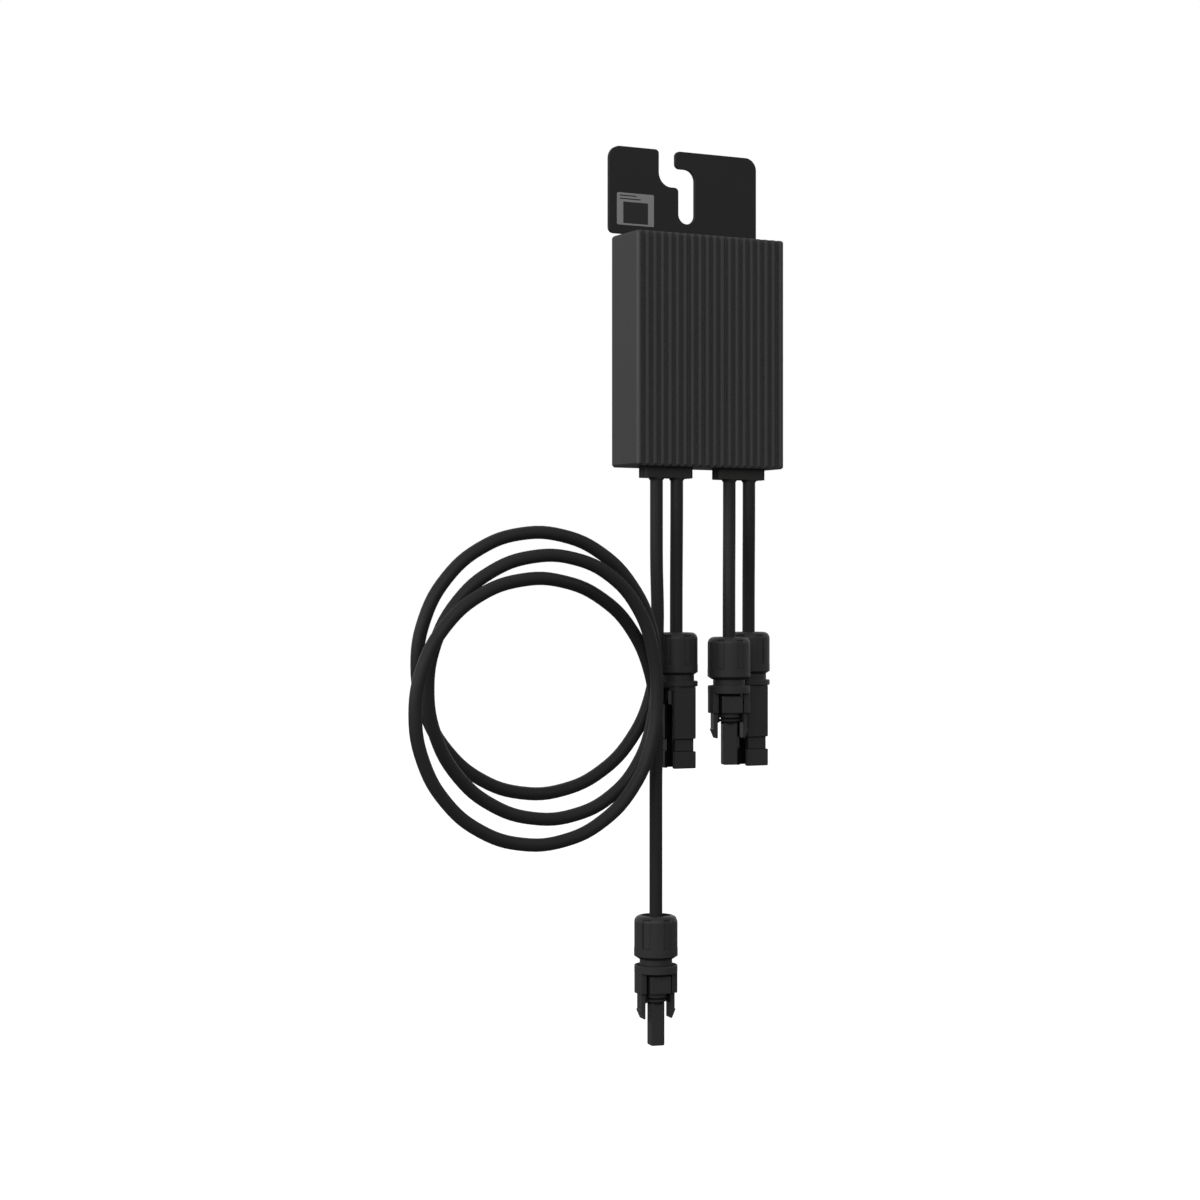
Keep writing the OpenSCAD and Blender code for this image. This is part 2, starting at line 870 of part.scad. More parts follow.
// contact with a round pin inside the shell
module pin_contact(place) {
    shoulder = -nut_h - shell_neck[1] - collar[1] - shell_floor;
    color([0.8, 0.75, 0.6])
        translate(place)
            rotate_extrude()
                polygon([
                    [0, -contact_top], [contact_r, -contact_top], [contact_r, shoulder], [pin_r, shoulder],
                    [pin_r, shoulder - pin_h + pin_tip[1]], [pin_r - pin_tip[0], shoulder - pin_h],
                    [0, shoulder - pin_h]
                ]);
}

module long_nut() { nut(long_place); }
module long_clamp() { clamp(long_place); }
module long_seal() { seal(long_place); }
module long_plug() { plug(long_place, long_turn); }
module long_contact() { bore_contact(long_place); }
module long_ring() { nose_ring(long_place); }
module left_nut() { nut(left_place); }
module left_clamp() { clamp(left_place); }
module left_seal() { seal(left_place); }
module left_socket() { socket(left_place); }
module left_contact() { pin_contact(left_place); }
module middle_nut() { nut(middle_place); }
module middle_clamp() { clamp(middle_place); }
module middle_seal() { seal(middle_place); }
module middle_plug() { plug(middle_place, middle_turn); }
module middle_contact() { bore_contact(middle_place); }
module middle_ring() { nose_ring(middle_place); }
module right_nut() { nut(right_place); }
module right_clamp() { clamp(right_place); }
module right_seal() { seal(right_place); }
module right_socket() { socket(right_place); }
module right_contact() { pin_contact(right_place); }

housing();
gasket();
rear_cover();
cover_screws();
mounting_bracket();
bracket_screws();
label();
left_gland();
right_gland();
circuit_board();
board_screws();
thermal_pad();
power_switches();
inductor_core();
inductor_winding();
input_capacitors();
output_capacitors();
control_chip();
cable_terminals();
long_cable();
left_cable();
middle_cable();
right_cable();
long_nut();
long_clamp();
long_seal();
long_plug();
long_contact();
long_ring();
left_nut();
left_clamp();
left_seal();
left_socket();
left_contact();
middle_nut();
middle_clamp();
middle_seal();
middle_plug();
middle_contact();
middle_ring();
right_nut();
right_clamp();
right_seal();
right_socket();
right_contact();
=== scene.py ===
import json
import math
import bpy
from mathutils import Matrix, Vector


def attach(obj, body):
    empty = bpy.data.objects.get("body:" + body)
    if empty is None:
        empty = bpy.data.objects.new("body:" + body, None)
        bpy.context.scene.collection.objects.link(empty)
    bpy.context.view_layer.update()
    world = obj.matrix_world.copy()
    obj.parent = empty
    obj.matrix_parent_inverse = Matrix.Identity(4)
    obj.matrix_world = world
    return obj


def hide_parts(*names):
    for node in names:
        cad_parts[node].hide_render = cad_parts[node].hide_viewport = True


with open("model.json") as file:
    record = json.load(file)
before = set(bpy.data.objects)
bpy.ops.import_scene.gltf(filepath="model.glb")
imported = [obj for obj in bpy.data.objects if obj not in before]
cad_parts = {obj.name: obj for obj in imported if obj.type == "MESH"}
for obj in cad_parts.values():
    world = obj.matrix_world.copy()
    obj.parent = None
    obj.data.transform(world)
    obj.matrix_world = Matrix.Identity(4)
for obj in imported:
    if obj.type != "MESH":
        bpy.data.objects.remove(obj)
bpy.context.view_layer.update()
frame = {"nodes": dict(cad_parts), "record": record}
mm = 0.001


# camera

cameraSetup = {
    "place": (-544.4, -948.6, -170.9),  # in mm, level with the middle of the leads
    "turn": 27.95,  # degrees to the right of the ribbed front
    "lens": 73.87,
    "sensor": 36.0,
}


def makeCamera(setup):
    data = bpy.data.cameras.new("viewCamera")
    data.lens = setup["lens"]
    data.sensor_width = setup["sensor"]
    camera = bpy.data.objects.new("viewCamera", data)
    camera.location = Vector(setup["place"]) * mm
    camera.rotation_euler = (math.radians(90), 0, math.radians(-setup["turn"]))
    bpy.context.scene.collection.objects.link(camera)
    bpy.context.scene.camera = camera


makeCamera(cameraSetup)
print("camera ready")


# leads

cableSetup = {
    "diameter": 5.6,
    "leadX": (-23.4, -13.3, 13.3, 23.4),
    "leadY": -18.8,
    "innerZ": -104.3,  # upper end, inside the housing
    "exitZ": -119.3,  # where a cable leaves its gland
    "upperZ": -150.0,
    "lowerZ": -250.0,
    "contactTop": 22.0,  # lower end of a cable, down from the top of its nut
    "ease": ((-126, 0), (-138, 0.16), (-150, 0.5), (-162, 0.84), (-174, 1)),  # height, sideways share
    "roundSteps": 5,
    "alongSteps": 6,
}
loopSetup = {
    "turns": 3,
    "steps": 18,
    "startZ": -192.7,
    "halfWidth": 57.1,
    "halfHeight": 57.2,
    "drop": 9.7,
    "shift": -0.16,  # sideways step of each loop
    "slant": 0.53,  # sideways move for each move forward
    "depth": ((0, 0), (0.1, 0), (1, -12.8), (2, -19.2), (2.5, -24.5), (2.7, -25), (2.9, -6.5), (3, -6.4)),
    "bulge": (2.0, 7.8, 3.2),  # how far each loop is drawn in on its far side
    "bulgePower": 6,
}
nutTops = {
    "long": (-27.272, -25.2, -306.2),
    "left": (-11.3, -14.9, -185.0),
    "middle": (9.9, -24.2, -187.0),
    "right": (26.5, -13.4, -185.0),
}


def loopDepth(turn):
    stops = loopSetup["depth"]
    for (startTurn, startDepth), (endTurn, endDepth) in zip(stops, stops[1:]):
        if turn <= endTurn:
            return startDepth + (endDepth - startDepth) * (turn - startTurn) / (endTurn - startTurn)
    return stops[-1][1]


def loopPoint(turn):
    angle = -2 * math.pi * turn
    loop = min(int(turn), loopSetup["turns"] - 1)
    drawn = loopSetup["bulge"][loop] * (1 - ((1 + math.cos(angle)) / 2) ** loopSetup["bulgePower"])
    depth = loopDepth(turn)
    sideways = loopSetup["shift"] * turn + loopSetup["slant"] * depth
    return (
        cableSetup["leadX"][0] + sideways - loopSetup["halfWidth"] * (1 - math.cos(angle)) + drawn,
        cableSetup["leadY"] + depth,
        loopSetup["startZ"] - loopSetup["drop"] * turn + loopSetup["halfHeight"] * math.sin(angle),
    )


def longRoute():
    x, y = cableSetup["leadX"][0], cableSetup["leadY"]
    endX, endY, nutZ = nutTops["long"]
    count = loopSetup["turns"] * loopSetup["steps"]
    upper = [(x, y, cableSetup["innerZ"]), (x, y, cableSetup["upperZ"])]
    loops = [loopPoint(i / loopSetup["steps"]) for i in range(count + 1)]
    lower = [(endX, endY, cableSetup["lowerZ"]), (endX, endY, nutZ - cableSetup["contactTop"])]
    return upper + loops + lower


def shortRoute(index, name):
    x, y = cableSetup["leadX"][index], cableSetup["leadY"]
    endX, endY, nutZ = nutTops[name]
    points = [(x, y, cableSetup["innerZ"])]
    for z, share in cableSetup["ease"]:
        points.append((x + (endX - x) * share, y + (endY - y) * share, z))
    return points + [(endX, endY, nutZ - cableSetup["contactTop"])]


def makeCable(name, route):
    data = bpy.data.curves.new(name, "CURVE")
    data.dimensions = "3D"
    data.bevel_depth = cableSetup["diameter"] / 2 * mm
    data.bevel_resolution = cableSetup["roundSteps"]
    data.resolution_u = cableSetup["alongSteps"]
    data.use_fill_caps = True
    spline = data.splines.new("BEZIER")
    spline.bezier_points.add(len(route) - 1)
    for point, place in zip(spline.bezier_points, route):
        point.co = Vector(place) * mm
        point.handle_left_type = "AUTO"
        point.handle_right_type = "AUTO"
    cable = bpy.data.objects.new(name, data)
    bpy.context.scene.collection.objects.link(cable)
    return cable


routes = {
    "long": longRoute(),
    "left": shortRoute(1, "left"),
    "middle": shortRoute(2, "middle"),
    "right": shortRoute(3, "right"),
}
cables = {name: makeCable(name + "Lead", route) for name, route in routes.items()}
print("leads ready")


# finishes

def newGroup(name, inputs, outputs):
    group = bpy.data.node_groups.new(name, "ShaderNodeTree")
    for label, kind, value in inputs:
        socket = group.interface.new_socket(label, in_out="INPUT", socket_type=kind)
        socket.default_value = value
    for label, kind in outputs:
        group.interface.new_socket(label, in_out="OUTPUT", socket_type=kind)
    return group, group.nodes.new("NodeGroupInput"), group.nodes.new("NodeGroupOutput")


def wire(links, *rows):
    # each row: a node, its output, the next node, its input
    for node, output, nextNode, entry in rows:
        links.new(node.outputs[output], nextNode.inputs[entry])


def addGroup(nodes, group):
    node = nodes.new("ShaderNodeGroup")
    node.node_tree = group
    return node


def addMath(nodes, operation, value=0.0):
    node = nodes.new("ShaderNodeMath")
    node.operation = operation
    node.inputs[1].default_value = value
    return node


def addColourMix(nodes):
    node = nodes.new("ShaderNodeMix")
    node.data_type = "RGBA"
    return node


def addAttribute(nodes, name):
    node = nodes.new("ShaderNodeAttribute")
    node.attribute_name = name
    return node


grainSetup = {
    "depth": 0.1,  # height of the grain in mm
    "patchShare": 0.6,  # the rest of the colour change is grain
    "roughRange": (0.3, 0.7),  # part of the patch noise that the roughness follows
}


def makeGrainGroup(setup):
    # fine grain of a coated or moulded surface, with broad soft patches over it
    group, start, end = newGroup(
        "surfaceGrain",
        [
            ("Dark", "NodeSocketColor", (0.02, 0.02, 0.02, 1)),
            ("Light", "NodeSocketColor", (0.03, 0.03, 0.03, 1)),
            ("Grain Scale", "NodeSocketFloat", 1500.0),
            ("Patch Scale", "NodeSocketFloat", 30.0),
            ("Smooth", "NodeSocketFloat", 0.5),
            ("Rough", "NodeSocketFloat", 0.6),
        ],
        [("Color", "NodeSocketColor"), ("Roughness", "NodeSocketFloat"), ("Height", "NodeSocketFloat")],
    )
    nodes, links = group.nodes, group.links
    place = nodes.new("ShaderNodeTexCoord")
    grain = nodes.new("ShaderNodeTexNoise")
    grain.inputs["Detail"].default_value = 2.0
    patches = nodes.new("ShaderNodeTexNoise")
    patches.inputs["Detail"].default_value = 3.0
    fine = addMath(nodes, "MULTIPLY", 1 - setup["patchShare"])
    blend = addMath(nodes, "MULTIPLY_ADD", setup["patchShare"])
    colour = addColourMix(nodes)
    rough = nodes.new("ShaderNodeMapRange")
    rough.inputs["From Min"].default_value, rough.inputs["From Max"].default_value = setup["roughRange"]
    wire(
        links,
        (place, "Object", grain, "Vector"),
        (place, "Object", patches, "Vector"),
        (start, "Grain Scale", grain, "Scale"),
        (start, "Patch Scale", patches, "Scale"),
        (grain, "Fac", fine, 0),
        (patches, "Fac", blend, 0),
        (fine, 0, blend, 2),
        (blend, 0, colour, "Factor"),
        (start, "Dark", colour, "A"),
        (start, "Light", colour, "B"),
        (patches, "Fac", rough, "Value"),
        (start, "Smooth", rough, "To Min"),
        (start, "Rough", rough, "To Max"),
        (colour, "Result", end, "Color"),
        (rough, "Result", end, "Roughness"),
        (grain, "Fac", end, "Height"),
    )
    return group


def makeShadeAndHighlightGroup():
    # painted shade: dark and dull deep in a gap; painted highlight: paler on an edge
    group, start, end = newGroup(
        "paintedShadeAndHighlight",
        [
            ("Color", "NodeSocketColor", (0.02, 0.02, 0.02, 1)),
            ("Roughness", "NodeSocketFloat", 0.5),
            ("Shade Color", "NodeSocketColor", (0.002, 0.002, 0.002, 1)),
            ("Gap Roughness", "NodeSocketFloat", 1.0),
            ("Highlight Color", "NodeSocketColor", (0.03, 0.03, 0.03, 1)),
        ],
        [("Color", "NodeSocketColor"), ("Roughness", "NodeSocketFloat")],
    )
    nodes, links = group.nodes, group.links
    recess = addAttribute(nodes, "recess")
    paintedHighlight = addAttribute(nodes, "paintedHighlight")
    dark = addColourMix(nodes)
    pale = addColourMix(nodes)
    dull = nodes.new("ShaderNodeMix")
    wire(
        links,
        (recess, "Fac", dark, "Factor"),
        (paintedHighlight, "Fac", pale, "Factor"),
        (recess, "Fac", dull, "Factor"),
        (start, "Color", dark, "A"),
        (start, "Shade Color", dark, "B"),
        (dark, "Result", pale, "A"),
        (start, "Highlight Color", pale, "B"),
        (start, "Roughness", dull, "A"),
        (start, "Gap Roughness", dull, "B"),
        (pale, "Result", end, "Color"),
        (dull, "Result", end, "Roughness"),
    )
    return group


grainGroup = makeGrainGroup(grainSetup)
shadeAndHighlightGroup = makeShadeAndHighlightGroup()


def makeFinish(name, look):
    material = bpy.data.materials.new(name)
    material.use_nodes = True
    nodes, links = material.node_tree.nodes, material.node_tree.links
    shader = nodes["Principled BSDF"]
    shader.inputs["Specular IOR Level"].default_value = look["gloss"]
    shader.inputs["Metallic"].default_value = look.get("metal", 0.0)
    grain = addGroup(nodes, grainGroup)
    grain.inputs["Dark"].default_value = (*look["dark"], 1)
    grain.inputs["Light"].default_value = (*look["light"], 1)
    grain.inputs["Grain Scale"].default_value = look["grain"]
    grain.inputs["Patch Scale"].default_value = look["patch"]
    grain.inputs["Smooth"].default_value, grain.inputs["Rough"].default_value = look["rough"]
    # painted shade in gaps and painted highlight on edges, laid over the grain colour
    gaps = addGroup(nodes, shadeAndHighlightGroup)
    # painted highlight colour for edges, else the light grain colour
    gaps.inputs["Highlight Color"].default_value = (*look.get("edgeHighlight", look["light"]), 1)
    bump = nodes.new("ShaderNodeBump")
    bump.inputs["Strength"].default_value = look["bump"]
    bump.inputs["Distance"].default_value = grainSetup["depth"] * mm
    wire(
        links,
        (grain, "Color", gaps, "Color"),
        (grain, "Roughness", gaps, "Roughness"),
        (grain, "Height", bump, "Height"),
        (gaps, "Color", shader, "Base Color"),
        (gaps, "Roughness", shader, "Roughness"),
        (bump, "Normal", shader, "Normal"),
    )
    return material


def grey(value):
    return (value, value, value)


finishLooks = {
    # cast_black's pale edge colour is a painted highlight on the housing's front edges
    "cast_black": {"dark": grey(0.022), "light": grey(0.03), "grain": 1800, "patch": 40,
                   "rough": (0.5, 0.6), "bump": 0.1, "gloss": 0.09, "edgeHighlight": grey(0.041)},
    "sheet_black": {"dark": grey(0.011), "light": grey(0.016), "grain": 2200, "patch": 30,
                    "rough": (0.5, 0.6), "bump": 0.1, "gloss": 0.06},
    "rubber_black": {"dark": grey(0.012), "light": (0.018, 0.018, 0.017), "grain": 900, "patch": 60,
                     "rough": (0.62, 0.75), "bump": 0.15, "gloss": 0.08},
    "plastic_black": {"dark": grey(0.015), "light": grey(0.022), "grain": 2600, "patch": 50,
                      "rough": (0.32, 0.42), "bump": 0.05, "gloss": 0.08},
    "cable_black": {"dark": grey(0.01), "light": grey(0.0145), "grain": 1200, "patch": 45,
                    "rough": (0.36, 0.44), "bump": 0.06, "gloss": 0.055},
    "label_grey": {"dark": grey(0.125), "light": grey(0.15), "grain": 1500, "patch": 90,
                   "rough": (0.45, 0.55), "bump": 0.05, "gloss": 0.1},
    "steel": {"dark": (0.45, 0.45, 0.46), "light": (0.6, 0.6, 0.61), "grain": 1500, "patch": 120,
              "rough": (0.3, 0.42), "bump": 0.1, "gloss": 0.5, "metal": 1.0},
    "board_green": {"dark": (0.015, 0.1, 0.04), "light": (0.03, 0.15, 0.06), "grain": 900, "patch": 80,
                    "rough": (0.4, 0.5), "bump": 0.1, "gloss": 0.4},
    "pad_grey": {"dark": (0.4, 0.45, 0.55), "light": (0.5, 0.55, 0.65), "grain": 700, "patch": 60,
                 "rough": (0.7, 0.8), "bump": 0.2, "gloss": 0.2},
    "chip_black": {"dark": grey(0.02), "light": grey(0.03), "grain": 1500, "patch": 90,
                   "rough": (0.55, 0.65), "bump": 0.15, "gloss": 0.3},
    "ferrite": {"dark": (0.07, 0.07, 0.075), "light": (0.12, 0.12, 0.125), "grain": 1100, "patch": 70,
                "rough": (0.6, 0.75), "bump": 0.3, "gloss": 0.4},
    "copper": {"dark": (0.5, 0.22, 0.09), "light": (0.65, 0.32, 0.14), "grain": 1300, "patch": 80,
               "rough": (0.3, 0.4), "bump": 0.2, "gloss": 0.5, "metal": 1.0},
    "capacitor_can": {"dark": (0.22, 0.24, 0.32), "light": (0.3, 0.32, 0.4), "grain": 1200, "patch": 70,
                      "rough": (0.3, 0.4), "bump": 0.1, "gloss": 0.5, "metal": 1.0},
    "tinned_brass": {"dark": (0.62, 0.59, 0.5), "light": (0.75, 0.72, 0.62), "grain": 1500, "patch": 90,
                     "rough": (0.25, 0.38), "bump": 0.1, "gloss": 0.5, "metal": 1.0},
    "seal_red": {"dark": (0.18, 0.02, 0.015), "light": (0.26, 0.04, 0.03), "grain": 800, "patch": 60,
                 "rough": (0.55, 0.65), "bump": 0.2, "gloss": 0.3},
}
labelFields = {
    "ink": grey(0.014),
    "boxes": (
        ((-24.5, -1.3), (6.2, 4.7)),  # centre and half size of the dark square, in mm across and up
        ((-28.2, 6.1), (4.2, 0.25)),
        ((-27.2, 4.7), (5.2, 0.25)),
    ),
    "soft": 0.12,
}


def makeFieldGroup(fields):
    # plain dark fields printed on a film that faces the front
    group, _, end = newGroup("printedFields", [], [("Mask", "NodeSocketFloat")])
    nodes, links = group.nodes, group.links

    def joinMasks(operation, first, second):
        if first is None:
            return second
        both = addMath(nodes, operation)
        links.new(first, both.inputs[0])
        links.new(second, both.inputs[1])
        return both.outputs[0]

    place = nodes.new("ShaderNodeTexCoord")
    split = nodes.new("ShaderNodeSeparateXYZ")
    links.new(place.outputs["Object"], split.inputs["Vector"])
    total = None
    for middle, half in fields["boxes"]:
        inside = None
        for axis, centre, reach in zip("XZ", middle, half):
            away = addMath(nodes, "SUBTRACT", centre * mm)
            size = addMath(nodes, "ABSOLUTE")
            edge = nodes.new("ShaderNodeMapRange")
            edge.inputs["From Min"].default_value = (reach + fields["soft"] / 2) * mm
            edge.inputs["From Max"].default_value = (reach - fields["soft"] / 2) * mm
            wire(
                links,
                (split, axis, away, 0),
                (away, 0, size, 0),
                (size, 0, edge, "Value"),
            )
            inside = joinMasks("MULTIPLY", inside, edge.outputs["Result"])
        total = joinMasks("MAXIMUM", total, inside)
    links.new(total, end.inputs["Mask"])
    return group


def printFields(material, fields):
    nodes, links = material.node_tree.nodes, material.node_tree.links
    shader = nodes["Principled BSDF"]
    film = shader.inputs["Base Color"].links[0].from_socket
    mask = addGroup(nodes, makeFieldGroup(fields))
    ink = addColourMix(nodes)
    ink.inputs["B"].default_value = (*fields["ink"], 1)
    links.new(mask.outputs["Mask"], ink.inputs["Factor"])
    links.new(film, ink.inputs["A"])
    links.new(ink.outputs["Result"], shader.inputs["Base Color"])


finishes = {name: makeFinish(name, look) for name, look in finishLooks.items()}
printFields(finishes["label_grey"], labelFields)


def dress(piece, slot):
    piece.data.materials.clear()
    piece.data.materials.append(finishes[slot])


for part in frame["record"]["subparts"]:
    dress(frame["nodes"][part["node"]], part["material_slot"])
print("finishes ready")


# modelling helpers, sizes in mm

overlap = 0.1  # how far joined shapes reach into each other
past = 2.0  # how far a cutter passes the face it cuts
slack = 0.1  # room when faces are told apart by their place
straight = 0.9  # share of a direction that counts as along an axis
cornerSteps = 4  # segments of a small rounded corner
mergeGap = {"turned": 0.005, "combined": 0.03, "cut": 0.001}  # points this close become one
flatAngle = 0.5  # degrees, faces this level become one
smoothAngle = 35  # degrees, sharper edges stay sharp


def clearSelection():
    bpy.ops.object.select_all(action="DESELECT")


def selectOnly(piece):
    clearSelection()
    piece.select_set(True)
    bpy.context.view_layer.objects.active = piece


def takeNew(name):
    bpy.ops.object.transform_apply(location=True, rotation=True, scale=True)
    piece = bpy.context.object
    piece.name = name
    return piece


def addBlock(name, xs, ys, zs):
    clearSelection()
    spans = (xs, ys, zs)
    bpy.ops.mesh.primitive_cube_add(
        size=1,
        location=[(low + high) / 2 * mm for low, high in spans],
        scale=[(high - low) * mm for low, high in spans],
    )
    return takeNew(name)


def addRod(name, place, radius, zs, sides=64):
    clearSelection()
    bpy.ops.mesh.primitive_cylinder_add(
        vertices=sides,
        radius=radius * mm,
        depth=(zs[1] - zs[0]) * mm,
        location=(place[0] * mm, place[1] * mm, (zs[0] + zs[1]) / 2 * mm),
    )
    return takeNew(name)


def addTurned(name, profile, sides=72, solid=False):
    # (radius, height) points round the Z axis: a closed ring, or a solid with flat ends
    clearSelection()
    points = list(profile)
    radius, height = points[0]
    fill = "NGON" if solid else "NOTHING"
    bpy.ops.mesh.primitive_circle_add(
        vertices=sides, radius=radius * mm, fill_type=fill, location=(0, 0, height * mm)
    )
    piece = takeNew(name)
    bpy.ops.object.mode_set(mode="EDIT")
    bpy.ops.mesh.select_all(action="SELECT")
    extrude = bpy.ops.mesh.extrude_region_move if solid else bpy.ops.mesh.extrude_edges_move
    following = points[1:] if solid else points[1:] + points[:1]
    for (radius, height), (nextRadius, nextHeight) in zip(points, following):
        extrude(TRANSFORM_OT_translate={"value": (0, 0, (nextHeight - height) * mm)})
        grow = nextRadius / radius
        bpy.ops.transform.resize(value=(grow, grow, 1), center_override=(0, 0, nextHeight * mm))
    bpy.ops.mesh.select_all(action="SELECT")
    bpy.ops.mesh.remove_doubles(threshold=mergeGap["turned"] * mm)
    bpy.ops.mesh.normals_make_consistent(inside=False)
    bpy.ops.object.mode_set(mode="OBJECT")
    return piece


def beginPick(piece, kind):
    selectOnly(piece)
    bpy.ops.object.mode_set(mode="EDIT")
    bpy.ops.mesh.select_mode(type=kind)
    bpy.ops.mesh.select_all(action="DESELECT")
    bpy.ops.object.mode_set(mode="OBJECT")


def pickAll(piece, kind):
    beginPick(piece, kind)
    bpy.ops.object.mode_set(mode="EDIT")
    bpy.ops.mesh.select_all(action="SELECT")


def pickFaces(piece, test):
    beginPick(piece, "FACE")
    for face in piece.data.polygons:
        face.select = test(face.center / mm, face.normal)
    bpy.ops.object.mode_set(mode="EDIT")


def pickEdges(piece, test):
    beginPick(piece, "EDGE")
    points = piece.data.vertices
    for edge in piece.data.edges:
        first, second = (points[i].co / mm for i in edge.vertices)
        edge.select = test((first + second) / 2, (second - first).normalized())
    bpy.ops.object.mode_set(mode="EDIT")


def pickPoints(piece, test):
    beginPick(piece, "VERT")
    for point in piece.data.vertices:
        point.select = test(point.co / mm)
    bpy.ops.object.mode_set(mode="EDIT")


def endEdit():
    bpy.ops.object.mode_set(mode="OBJECT")


def markFaces(piece, name, shareOf):
    # shares of 0 to 1: one layer paints shade on faces deep in a gap, another paints a highlight on edges
    layer = piece.data.attributes.new(name, "FLOAT", "FACE")
    for face, share in zip(piece.data.polygons, layer.data):
        share.value = shareOf(face.center / mm, face.normal)


def near(a, b, room=0.02):
    return abs(a - b) < room


def movePicked(x=0, y=0, z=0):
    bpy.ops.transform.translate(value=(x * mm, y * mm, z * mm))
    endEdit()


def extrudePicked(x=0, y=0, z=0):
    bpy.ops.mesh.extrude_region_move(TRANSFORM_OT_translate={"value": (x * mm, y * mm, z * mm)})
    endEdit()


def bevelPicked(width, segments):
    bpy.ops.mesh.bevel(offset=width * mm, offset_type="OFFSET", segments=segments, affect="EDGES")
    endEdit()


def sliceAt(piece, place, normal, clear=False):
    # clear takes away the side that the normal points to and closes the cut
    pickAll(piece, "FACE")
    bpy.ops.mesh.bisect(
        plane_co=[v * mm for v in place],
        plane_no=normal,
        use_fill=clear,
        clear_outer=clear,
        threshold=mergeGap["cut"] * mm,
    )
    endEdit()


def applyStep(piece, step):
    selectOnly(piece)
    bpy.ops.object.modifier_apply(modifier=step.name)


def combine(piece, other, operation):
    step = piece.modifiers.new("combine", "BOOLEAN")
    step.operation = operation
    step.solver = "EXACT"
    step.object = other
    applyStep(piece, step)
    bpy.data.objects.remove(other, do_unlink=True)


def cleanMesh(piece, dissolve=True):
    pickAll(piece, "VERT")
    bpy.ops.mesh.remove_doubles(threshold=mergeGap["combined"] * mm)
    if dissolve:
        bpy.ops.mesh.dissolve_limited(angle_limit=math.radians(flatAngle))
    bpy.ops.mesh.normals_make_consistent(inside=False)
    endEdit()


def roundEdges(piece, width, angle, segments=2):
    # rounds the edges that are sharper than the angle
    step = piece.modifiers.new("rounding", "BEVEL")
    step.width = width * mm
    step.segments = segments
    step.limit_method = "ANGLE"
    step.angle_limit = math.radians(angle)
    applyStep(piece, step)


def placeCopy(model, name, place, turn=0, axis="Z"):
    piece = model.copy()
    piece.data = model.data.copy()
    piece.name = name
    bpy.context.scene.collection.objects.link(piece)
    turned = Matrix.Rotation(math.radians(turn), 4, axis)
    piece.data.transform(Matrix.Translation(Vector(place) * mm) @ turned)
    return piece


def placeCopyAndDrop(model, place, turn=0, axis="Z"):
    piece = placeCopy(model, model.name + "Set", place, turn, axis)
    bpy.data.objects.remove(model, do_unlink=True)
    return piece


def addPin(name, place, radius, ys, sides=48):
    # rod along Y at an (x, z) place
    model = addRod(name, (0, 0), radius, (0, ys[1] - ys[0]), sides)
    return placeCopyAndDrop(model, (place[0], ys[0], place[1]), -90, "X")


def joinCopies(name, copies):
    clearSelection()
    for piece in copies:
        piece.select_set(True)
    bpy.context.view_layer.objects.active = copies[0]
    bpy.ops.object.join()
    copies[0].name = name
    return copies[0]


def fitPiece(piece, slot, node):
    selectOnly(piece)
    bpy.ops.object.shade_smooth_by_angle(angle=math.radians(smoothAngle))
    step = piece.modifiers.new("flatFaces", "WEIGHTED_NORMAL")
    step.keep_sharp = True
    applyStep(piece, step)
    dress(piece, slot)
    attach(piece, "root")
    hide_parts(node)


# ribbed housing

housingSetup = {
    "width": 74.1,
    "height": 100.9,
    "topZ": -12.3,
    "frontY": -26.5,
    "backY": -3.3,
    "bevel": 1.0,
    "grooves": 19,
    "pitch": 3.73,
    "grooveMouth": 2.7,
    "grooveFloor": 0.9,
    "grooveDepth": 1.7,
    "rim": 1.8,  # wall round the recess of the rear cover
    "recessY": -6.0,
    "cavityX": 32.65,
    "cavityY": -22.4,
    "cavityZs": (-108.3, -16.3),
    "coverPosts": {"radius": 3.4, "hole": 1.25, "topY": -6.0, "depth": 9.0,
                   "places": [(x, z) for x in (-29.6, 29.6) for z in (-19.5, -60, -97.5)]},
    "boardPosts": {"radius": 3.0, "hole": 1.05, "topY": -8.6, "depth": 7.0,
                   "places": [(x, z) for x in (-21.5, 21.5) for z in (-25, -90)]},
    "coolingPad": ((-12, 12), (-22.5, -11.9), (-43.5, -26.5)),  # lies against the thermal pad
    "rounding": 0.25,
    "edgeSlant": 0.3,  # least share of front and of side in the direction of an edge with a painted highlight
}
glandSetup = {
    "middleX": 18.35,
    "shift": -0.4,
    "middleY": -18.8,
    "width": 23.8,
    "depth": 7.0,
    "lowZ": -118.1,
    "highZ": -108.3,
    "edge": 1.2,
    "flange": (25.6, 8.0, 2.0),
    "flangeY": -18.3,
    "grooves": ((-2.3, -0.6), (0.6, 2.3)),  # front and rear side of the grip grooves
    "grooveDepth": 0.6,
    "grooveTop": -114.2,
    "cablePitch": 10.1,
    "holeRadius": 2.9,
    "boot": ((2.5, -0.8), (3.05, -0.8), (3.4, 0.0), (3.4, 1.0), (2.5, 1.0)),
    "rounding": 0.3,
    "fit": 0.1,
}


def makeGlandBlock(name, middleX, setup, extra, zs):
    x = middleX + setup["shift"]
    y = setup["middleY"]
    halfWide, halfDeep = setup["width"] / 2 + extra, setup["depth"] / 2 + extra
    block = addBlock(name, (x - halfWide, x + halfWide), (y - halfDeep, y + halfDeep), zs)
    pickEdges(block, lambda mid, way: abs(way.z) > straight)
    bevelPicked(setup["edge"] + extra, cornerSteps)
    return block


